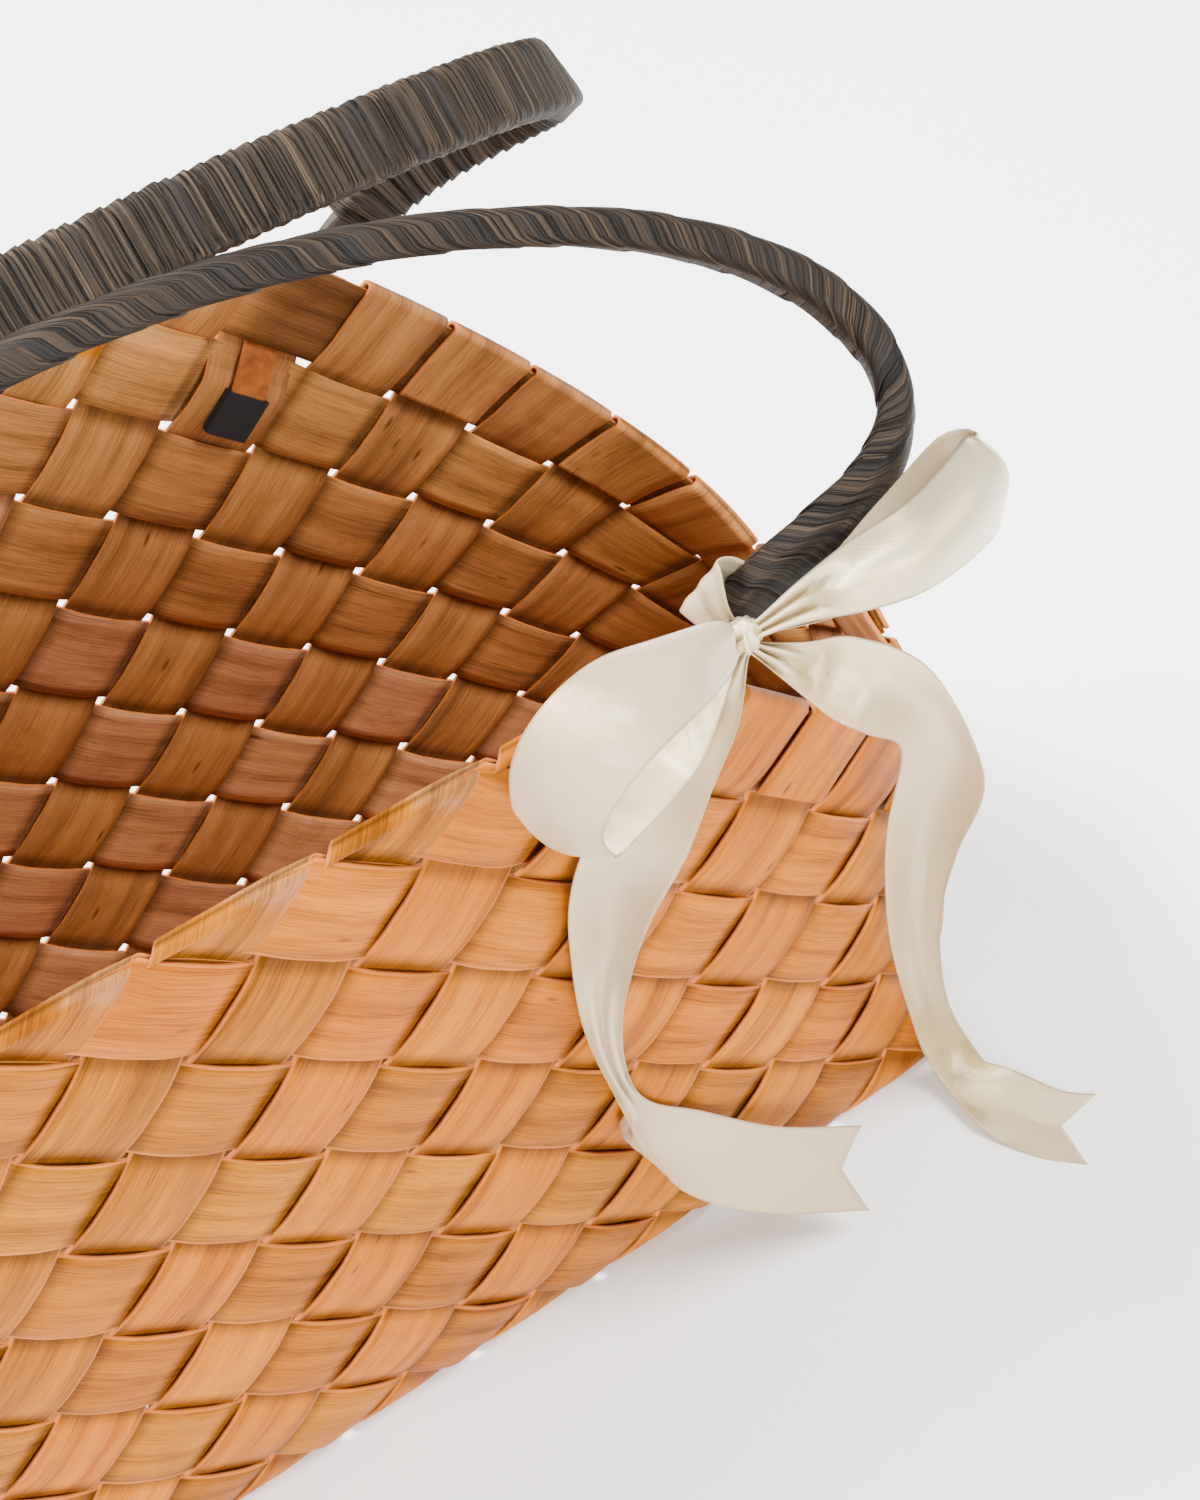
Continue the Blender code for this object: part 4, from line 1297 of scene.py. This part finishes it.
        # The strip is narrowed where it would run past the handle's ends
        low = np.maximum(middle + spread[:, :1], start)
        high = np.minimum(middle + spread[:, -1:], stop)
        place = np.clip(middle + spread, low, high)
        cut = (low > middle + spread[:, :1]) | (high < middle + spread[:, -1:])
        place = np.where(cut, low + (v + 0.5) * (high - low), place)
        step_up = np.minimum((v + 0.5) * self.layers % 1.0, 1.0 - 1e-6)
        step_up[-1] = 1.0
        room = self.seat + self.shingle * step_up + self.thickening * swell[:, None]
        x, y = self.section(turn[:, None], room)
        points, across, outward = self.frames(line, lean, travel, place)
        points = points + across * x[..., None] + outward * y[..., None]
        girth = 2.0 * (self.core_width + self.core_thickness)
        lengthways = turn[:, None] / math.tau * girth
        crossways = v * width + 13.0 * MM * np.floor(turns)[:, None]
        uv = np.stack(np.broadcast_arrays(lengthways, crossways), -1)
        name = f"handle_{self.label}_wrap_strip"
        item = strip_object(name, points, uv, self.strip)
        item.data.materials.append(bark)
        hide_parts(f"handle_{self.label}_wrap")
        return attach(item, ROOT)

    @staticmethod
    def frames(
        line: np.ndarray, lean: np.ndarray, travel: np.ndarray, place: np.ndarray
    ) -> tuple[np.ndarray, np.ndarray, np.ndarray]:
        """Return points on the handle's line with their width and outward directions.

        Args:
            line: The handle's line.
            lean: Its width directions.
            travel: How far along it each of its points lies.
            place: How far along it the wanted points lie.

        Returns:
            Points, unit vectors across and unit vectors outwards.
        """
        heading = np.gradient(line, travel, axis=0)

        def at(values: np.ndarray) -> np.ndarray:
            """Return a run of vectors at the wanted points."""
            return np.stack([np.interp(place, travel, values[:, n]) for n in range(3)], -1)

        points, ahead, across = at(line), at(heading), at(lean)
        ahead /= np.linalg.norm(ahead, axis=-1, keepdims=True)
        across -= ahead * (across * ahead).sum(-1, keepdims=True)
        across /= np.linalg.norm(across, axis=-1, keepdims=True)
        return points, across, np.cross(ahead, across)


@dataclass
class Bow:
    """The satin ribbon tied round the near handle's right leg."""

    form: BasketForm
    handle: HandleWrap
    width: float = 20.5 * MM
    size: float = 25.0 * MM
    cloth: float = 0.25 * MM
    columns: int = 25
    rows_between: int = 7
    floor_air: float = 0.4 * MM
    # Shares of the ribbon's width: below the first it lies in pleats, and the last is the deepest fold
    pleated_width: float = 0.62
    pleating_ease: float = 0.3
    deepest: float = 0.34
    pleat_depth: float = 0.6
    band_length: float = 72.0 * MM
    band_pucker: float = 0.35 * MM
    band_rise: float = 0.15
    # Half sizes of the ring round the leg, as shares of the bow's size
    ring: tuple[float, float, float] = (0.475, 0.135, 0.20)
    knot_creases: int = 9
    crease_depth: float = 0.11
    # Routes run out from the knot. A station is a place and a width vector, as shares of the bow's size
    left_loop: tuple = (
        ((-0.04, -0.03, 0.03), (0.05, -0.10, -0.06)),
        ((-0.13, -0.05, 0.09), (0.05, -0.12, -0.07)),
        ((-0.35, -0.22, 0.33), (0.12, -0.28, -0.15)),
        ((-0.65, -0.43, 0.62), (0.20, -0.42, -0.23)),
        ((-1.17, -0.73, 1.04), (0.43, -0.59, -0.27)),
        ((-1.66, -0.93, 1.19), (0.39, -0.62, -0.31)),
        ((-1.98, -0.93, 0.94), (0.36, -0.61, -0.32)),
        ((-2.05, -0.73, 0.34), (0.36, -0.59, -0.30)),
        ((-1.83, -0.33, -0.60), (0.47, -0.57, -0.25)),
        ((-1.52, -0.28, -0.53), (0.44, -0.62, -0.30)),
        ((-1.04, -0.28, -0.18), (0.42, -0.64, -0.32)),
        ((-0.50, -0.20, 0.08), (0.20, -0.35, -0.18)),
        ((-0.15, -0.03, 0.00), (0.05, -0.12, -0.07)),
        ((-0.05, -0.02, 0.00), (0.05, -0.10, -0.06)),
    )
    right_loop: tuple = (
        ((0.04, -0.03, 0.02), (-0.04, -0.10, -0.08)),
        ((0.14, -0.06, 0.07), (-0.04, -0.11, -0.09)),
        ((0.43, -0.16, 0.22), (-0.08, -0.22, -0.19)),
        ((0.86, -0.30, 0.35), (-0.12, -0.40, -0.33)),
        ((1.32, -0.33, 0.36), (-0.14, -0.49, -0.40)),
        ((1.87, -0.13, 0.22), (-0.12, -0.56, -0.44)),
        ((2.32, 0.17, 0.02), (-0.13, -0.60, -0.47)),
        ((2.12, 0.25, 0.03), (-0.11, -0.57, -0.45)),
        ((1.40, 0.02, 0.08), (-0.15, -0.50, -0.41)),
        ((0.74, -0.06, 0.03), (-0.08, -0.29, -0.24)),
        ((0.16, 0.00, 0.00), (-0.03, -0.09, -0.08)),
        ((0.05, 0.00, 0.00), (-0.03, -0.09, -0.08)),
    )
    right_tail: tuple = (
        ((0.00, -0.05, -0.02), (-0.09, -0.06, -0.05)),
        ((0.07, -0.08, -0.13), (-0.09, -0.06, -0.05)),
        ((0.30, -0.33, -0.26), (-0.22, -0.24, -0.22)),
        ((0.53, -0.55, -0.36), (-0.42, -0.31, -0.37)),
        ((0.87, -0.73, -0.72), (-0.65, 0.00, -0.22)),
        ((1.27, -0.73, -1.78), (-0.44, 0.50, 0.21)),
        ((1.29, -0.43, -3.17), (-0.40, 0.44, 0.17)),
        ((1.35, -0.23, -4.25), (-0.36, 0.35, 0.13)),
        ((1.47, -0.08, -5.39), (-0.34, 0.29, 0.10)),
        ((1.71, 0.02, -6.78), (-0.34, 0.22, 0.04)),
    )
    right_tail_floor: tuple = (
        ((2.05, 0.02, 0.45), (-0.45, 0.30, -0.02)),
        ((2.24, -0.31, 0.08), (-0.60, -0.50, 0.00)),
        ((2.52, -0.82, 0.00), (-0.66, -0.45, 0.00)),
        ((2.83, -1.13, 0.00), (-0.60, -0.54, 0.00)),
    )
    left_tail: tuple = (
        ((-0.02, -0.05, -0.02), (0.09, -0.08, -0.04)),
        ((-0.09, -0.07, -0.11), (0.09, -0.08, -0.04)),
        ((-0.44, -0.16, -0.40), (0.30, -0.33, -0.13)),
        ((-0.87, -0.21, -0.86), (0.52, -0.40, -0.11)),
        ((-1.27, -0.26, -1.38), (0.71, -0.42, -0.06)),
        ((-1.54, -0.23, -1.95), (0.48, -0.42, -0.13)),
        ((-1.67, -0.18, -2.62), (0.34, -0.36, -0.14)),
        ((-1.74, -0.13, -3.54), (0.27, -0.18, -0.03)),
        ((-1.68, -0.13, -4.48), (0.18, -0.02, 0.05)),
        ((-1.45, -0.13, -5.54), (0.19, 0.37, 0.33)),
        ((-1.08, -0.18, -6.29), (0.38, 0.50, 0.49)),
        ((-0.40, -0.33, -7.11), (0.40, 0.53, 0.52)),
        ((0.59, -0.43, -7.97), (0.28, 0.63, 0.55)),
    )

    def smooth(self, route: tuple) -> tuple[np.ndarray, np.ndarray]:
        """Return a smooth run of places and width vectors through a route's stations.

        Args:
            route: The stations.

        Returns:
            Places and width vectors in metres.
        """
        picks = np.array(route)
        padded = np.concatenate([picks[:1], picks, picks[-1:]])
        rows = []
        for k in range(len(picks) - 1):
            a, b, c, d = padded[k : k + 4]
            for n in range(self.rows_between):
                # A curve that passes through every station and keeps its direction there
                u = n / self.rows_between
                square, cube = 2 * a - 5 * b + 4 * c - d, 3 * b - a - 3 * c + d
                rows.append(0.5 * (2 * b + (c - a) * u + square * u * u + cube * u**3))
        rows.append(picks[-1])
        run = np.array(rows) * self.size
        return run[:, 0], run[:, 1]

    def pleat(self, chord: float, v: np.ndarray, waves: float) -> np.ndarray:
        """Return the heights of a cross-section whose length is the ribbon's own width.

        Args:
            chord: The section's straight width.
            v: Places across it, from -1 to 1.
            waves: How many half turns of a wave it makes on each side.

        Returns:
            The height at each place.
        """
        shape = np.cos(v * math.pi * waves) - math.cos(math.pi * waves)
        low, high = 0.0, self.width
        halvings = 24
        for _ in range(halvings):
            height = 0.5 * (low + high)
            length = np.hypot(np.diff(v) * 0.5 * chord, np.diff(shape) * height).sum()
            if length < self.width:
                low = height
            else:
                high = height
        return shape * low

    def strip(
        self, name: str, route: tuple, side: float, knot: np.ndarray, notch: float
    ) -> bpy.types.Object:
        """Make one free stretch of the ribbon.

        Args:
            name: The frame's node that it stands for.
            route: Stations from the knot, each a place and a width.
            side: Which way the ribbon cups.
            knot: The knot's middle.
            notch: Depth of the cut at the free end.

        Returns:
            The stretch, in place of its frame node.
        """
        place, spread = self.smooth(route)
        v = np.linspace(-1.0, 1.0, self.columns)
        travel = travel_along(place)
        ahead = np.gradient(place, travel, axis=0)
        ahead /= np.linalg.norm(ahead, axis=1, keepdims=True)
        spread = spread - ahead * (spread * ahead).sum(1, keepdims=True) * 0.6
        face = np.cross(ahead, spread)
        face = side * face / np.linalg.norm(face, axis=1, keepdims=True)
        rows = []
        limit = self.deepest * self.width
        for k in range(len(place)):
            chord = min(float(np.linalg.norm(spread[k])), 0.995 * self.width)
            unit = spread[k] / np.linalg.norm(spread[k])
            # A stretch that is pulled narrow lies in pleats, a wide one in a single arc
            tight = smoothstep(np.array((self.pleated_width - chord / self.width) / self.pleating_ease))
            arc, folds = self.pleat(chord, v, 0.5), self.pleat(chord, v, 2.5)
            height = np.clip(arc * (1.0 - tight) + folds * tight * self.pleat_depth, -limit, limit)
            rows.append(place[k] + knot + unit * (0.5 * chord) * v[:, None] + face[k] * height[:, None])
        points = np.array(rows)
        if notch:
            depth = notch * (1.0 - np.abs(v))[None, :, None]
            share = np.clip((travel - travel[-1] + 4.0 * notch) / (4.0 * notch), 0.0, 1.0)[:, None, None]
            points = points - ahead[:, None, :] * depth * share
            points[..., 2] = np.maximum(points[..., 2], 0.5 * self.cloth)
        uv = np.stack(np.broadcast_arrays(travel[:, None], 0.5 * self.width * v), -1)
        item = strip_object(name + "_cloth", points, uv, self.cloth)
        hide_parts(name)
        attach(item, ROOT)
        return item

    def build(self, face: bpy.types.Material, back: bpy.types.Material) -> list[bpy.types.Object]:
        """Make the loops, the tails, the knot and the band round the leg.

        Args:
            face: The cloth's face.
            back: The cloth's back.

        Returns:
            The ribbon's objects.
        """
        low, high = (np.array(corner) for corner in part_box("ribbon_knot"))
        knot = 0.5 * (low + high)
        rest = (self.floor_air - knot[2]) / self.size
        floor = tuple(((x, y, z + rest), spread) for (x, y, z), spread in self.right_tail_floor)
        notch = 0.3 * self.size
        made = [
            self.strip("ribbon_loop_left", self.left_loop, 1.0, knot, 0.0),
            self.strip("ribbon_loop_right", self.right_loop, -1.0, knot, 0.0),
            self.strip("ribbon_tail_left", self.left_tail, -1.0, knot, notch),
            self.strip("ribbon_tail_right", self.right_tail + floor, 1.0, knot, notch),
            self.knot(knot, 0.58 * (high - low)),
            self.band(),
        ]
        for item in made:
            item.data.materials.append(face)
            item.data.materials.append(back)
            if "wall" in item.modifiers:
                item.modifiers["wall"].material_offset = 1
        return made

    def knot(self, middle: np.ndarray, radii: np.ndarray) -> bpy.types.Object:
        """Make the knot: a small pleated lump of cloth.

        Args:
            middle: Its middle.
            radii: Its half sizes along the axes.

        Returns:
            The knot, in place of its frame node.
        """
        shape = bmesh.new()
        layer = shape.loops.layers.uv.new("strip")
        bmesh.ops.create_uvsphere(shape, u_segments=48, v_segments=24, radius=1.0, calc_uvs=True)
        for vert in shape.verts:
            turn = math.atan2(vert.co.y, vert.co.x)
            wave = math.sin(self.knot_creases * turn + 1.8 * vert.co.z)
            crease = self.crease_depth * wave * (1.0 - vert.co.z**2)
            pinch = 1.0 - 0.10 * math.exp(-((vert.co.z * 1.6) ** 2))
            place = Vector(c * r * (1.0 + crease) * pinch for c, r in zip(vert.co, radii))
            vert.co = Vector(middle) + place
        for face in shape.faces:
            face.smooth = True
            for loop in face.loops:
                loop[layer].uv = (loop.vert.co.x, 0.3 * (loop.vert.co.z - middle[2]))
        item = object_from(shape, "ribbon_knot_cloth")
        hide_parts("ribbon_knot")
        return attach(item, ROOT)

    def band(self) -> bpy.types.Object:
        """Make the loose ring of ribbon round the handle leg, narrow in front and wide behind.

        Returns:
            The ring, in place of its frame node.
        """
        line, lean = self.handle.path()
        travel = travel_along(line)
        spot = np.array([travel[-1] - self.band_rise * self.form.pitch])
        place, across, outward = (values[0] for values in self.handle.frames(line, lean, travel, spot))
        heading = np.cross(outward, across)
        across = -across
        outward = outward * math.copysign(1.0, outward[1] * self.handle.side)
        middle = place + across * (0.12 * self.size)
        half_width, half_depth, half = (share * self.size for share in self.ring)
        turn = np.linspace(0.0, math.tau, 49)[:, None]
        v = np.linspace(-1.0, 1.0, 13)
        pucker = self.band_pucker * np.sin(v * 2.5 * math.pi) * (1.0 + 0.5 * np.sin(3.0 * turn))
        x = half_width * np.cos(turn) + pucker * np.cos(turn)
        y = half_depth * np.sin(turn) + pucker * np.sin(turn)
        # The knot pulls the ring together in front, and behind the leg it lies wide
        front, rear = (np.clip(way * np.sin(turn), 0.0, 1.0) ** 2 for way in (1.0, -1.0))
        spread = 1.12 - 0.62 * front
        slide = self.size * (0.10 * rear - 0.14 * front)
        points = middle + across * x[..., None] + outward * y[..., None]
        points = points + heading * (half * spread * v + slide)[..., None]
        girth = math.tau * 0.33 * self.size
        uv = np.stack(np.broadcast_arrays(turn / math.tau * girth, half * v), -1)
        item = strip_object("ribbon_band_cloth", points, uv, self.cloth, close_ring=True)
        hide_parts("ribbon_band")
        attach(item, ROOT)
        return item


@dataclass
class Studio:
    """White sweep, soft light and the photograph's camera."""

    eye: tuple[float, float, float] = (-58.48 * MM, -353.68 * MM, 588.5 * MM)
    azimuth: float = math.radians(25.5485)
    elevation: float = math.radians(51.6563)
    roll: float = math.radians(9.0808)
    focal_pixels: float = 2673.53
    image_width: int = 1200
    image_height: int = 1500
    sensor: float = 36.0
    floor_half: float = 4.0
    lamp_side: float = 0.7
    # Each soft box: its name, where it hangs, the point that it faces and its watts
    lamps: tuple = (
        ("top_box", (0.72, -0.50, 1.35), (0.0, 0.0, 0.0), 48.0),
        ("back_box", (-0.55, 0.65, 1.35), (0.0, 0.0, 0.0), 116.0),
        ("front_box", (-0.35, -1.45, 0.5), (0.0, 0.0, 0.1), 36.0),
    )
    surround: float = 0.6

    def camera(self) -> None:
        """Place the camera where the photograph was taken from."""
        data = bpy.data.cameras.new("photo_camera")
        data.sensor_fit = "VERTICAL"
        data.sensor_height = self.sensor
        data.sensor_width = self.sensor * self.image_width / self.image_height
        data.lens = self.focal_pixels / self.image_height * self.sensor
        data.clip_start = 10.0 * MM
        data.clip_end = 20.0
        level = math.cos(self.elevation)
        ahead = Vector(
            (math.sin(self.azimuth) * level, math.cos(self.azimuth) * level, -math.sin(self.elevation))
        )
        right = Vector((math.cos(self.azimuth), -math.sin(self.azimuth), 0.0))
        down = ahead.cross(right)
        image_right = right * math.cos(self.roll) + down * math.sin(self.roll)
        image_down = down * math.cos(self.roll) - right * math.sin(self.roll)
        turn = Matrix((image_right, -image_down, -ahead)).transposed()
        camera = bpy.data.objects.new("photo_camera", data)
        camera.matrix_world = Matrix.Translation(Vector(self.eye)) @ turn.to_4x4()
        bpy.context.scene.collection.objects.link(camera)
        bpy.context.scene.camera = camera

    def floor(self) -> None:
        """Lay the white sweep that the basket stands on."""
        shape = bmesh.new()
        bmesh.ops.create_grid(shape, x_segments=2, y_segments=2, size=self.floor_half)
        sweep = object_from(shape, "sweep")
        sweep.data.materials.append(BackdropFinish().material())

    def lamp(self, name: str, place: tuple, aim: tuple, watts: float) -> None:
        """Hang one soft box.

        Args:
            name: The lamp's name.
            place: Where it hangs.
            aim: The point that it faces.
            watts: Its power.
        """
        data = bpy.data.lights.new(name, "AREA")
        data.shape = "SQUARE"
        data.size = self.lamp_side
        data.energy = watts
        lamp = bpy.data.objects.new(name, data)
        turn = (Vector(aim) - Vector(place)).to_track_quat("-Z", "Y")
        lamp.matrix_world = Matrix.Translation(Vector(place)) @ turn.to_matrix().to_4x4()
        bpy.context.scene.collection.objects.link(lamp)

    def build(self) -> None:
        """Set up the floor, the lamps, the surroundings and the camera."""
        self.floor()
        for lamp in self.lamps:
            self.lamp(*lamp)
        world = bpy.data.worlds.new("studio")
        world.use_nodes = True
        ground = world.node_tree.nodes["Background"]
        ground.inputs["Color"].default_value = srgb("#FFFFFF")
        ground.inputs["Strength"].default_value = self.surround
        bpy.context.scene.world = world
        self.camera()


def dress_frame(frame: dict) -> None:
    """Give the frame's nodes that stay in view their own finishes.
    """
    core = CoreFinish().material()
    tang = CoreFinish("pared_tang_wood", "#663008", "#8C4C12", specular=0.15).material()
    tape = TapeFinish().material()
    for name, node in frame["nodes"].items():
        if name.endswith("_core"):
            node.data.materials.clear()
            for finish in (core, tang):
                node.data.materials.append(finish)
            # The middles of the two tapes: the wood is pared and raw round them
            spots = []
            for word in ("left", "right"):
                low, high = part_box(name.replace("core", f"tape_{word}"))
                spots.append(0.5 * (low + high))
            for face in node.data.polygons:
                pared = any((face.center - spot).length < PARED_REACH for spot in spots)
                face.material_index = 1 if pared else 0
        if "_tape_" in name:
            node.data.materials.clear()
            node.data.materials.append(tape)


def main() -> None:
    """Build the dressed basket, piece by piece."""
    logging.basicConfig(level=logging.INFO, format="%(name)s: %(message)s")
    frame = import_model()
    studio = Studio()
    studio.build()
    form = BasketForm()
    made = SplintWeave(form).build()
    LOG.info("%d splints", len(made))
    near = HandleWrap(
        form,
        "near",
        side=-1.0,
        lean=math.radians(36.0),
        sway=11.0 * MM,
        core_width=9.0 * MM,
        turn_pitch=34.0 * MM,
        layers=3,
    )
    far = HandleWrap(
        form,
        "far",
        side=1.0,
        lean=math.radians(43.5),
        sway=6.5 * MM,
        core_width=10.8 * MM,
        turn_pitch=3.4 * MM,
        shingle=0.8 * MM,
    )
    broad = BarkFinish("dry_bark_near", fibre_width=0.6 * MM, groove_width=1.7 * MM, crack_length=18.0 * MM)
    fine = BarkFinish(
        "dry_bark_far",
        middle="#231C16",
        warm="#3A2F24",
        pale="#5F4E3D",
        fibre_width=0.4 * MM,
        groove_width=0.9 * MM,
    )
    made.append(near.build(broad.material()))
    made.append(far.build(fine.material()))
    dress_frame(frame)
    face = SatinFinish("satin_face", "#D6C39A", 0.32, 0.80).material()
    back = SatinFinish("satin_back", "#C6B08A", 0.46, 0.40).material()
    made += Bow(form, near).build(face, back)
    for item in made:
        LOG.info("%s: %d faces", item.name, len(item.data.polygons))


if __name__ == "__main__":
    main()
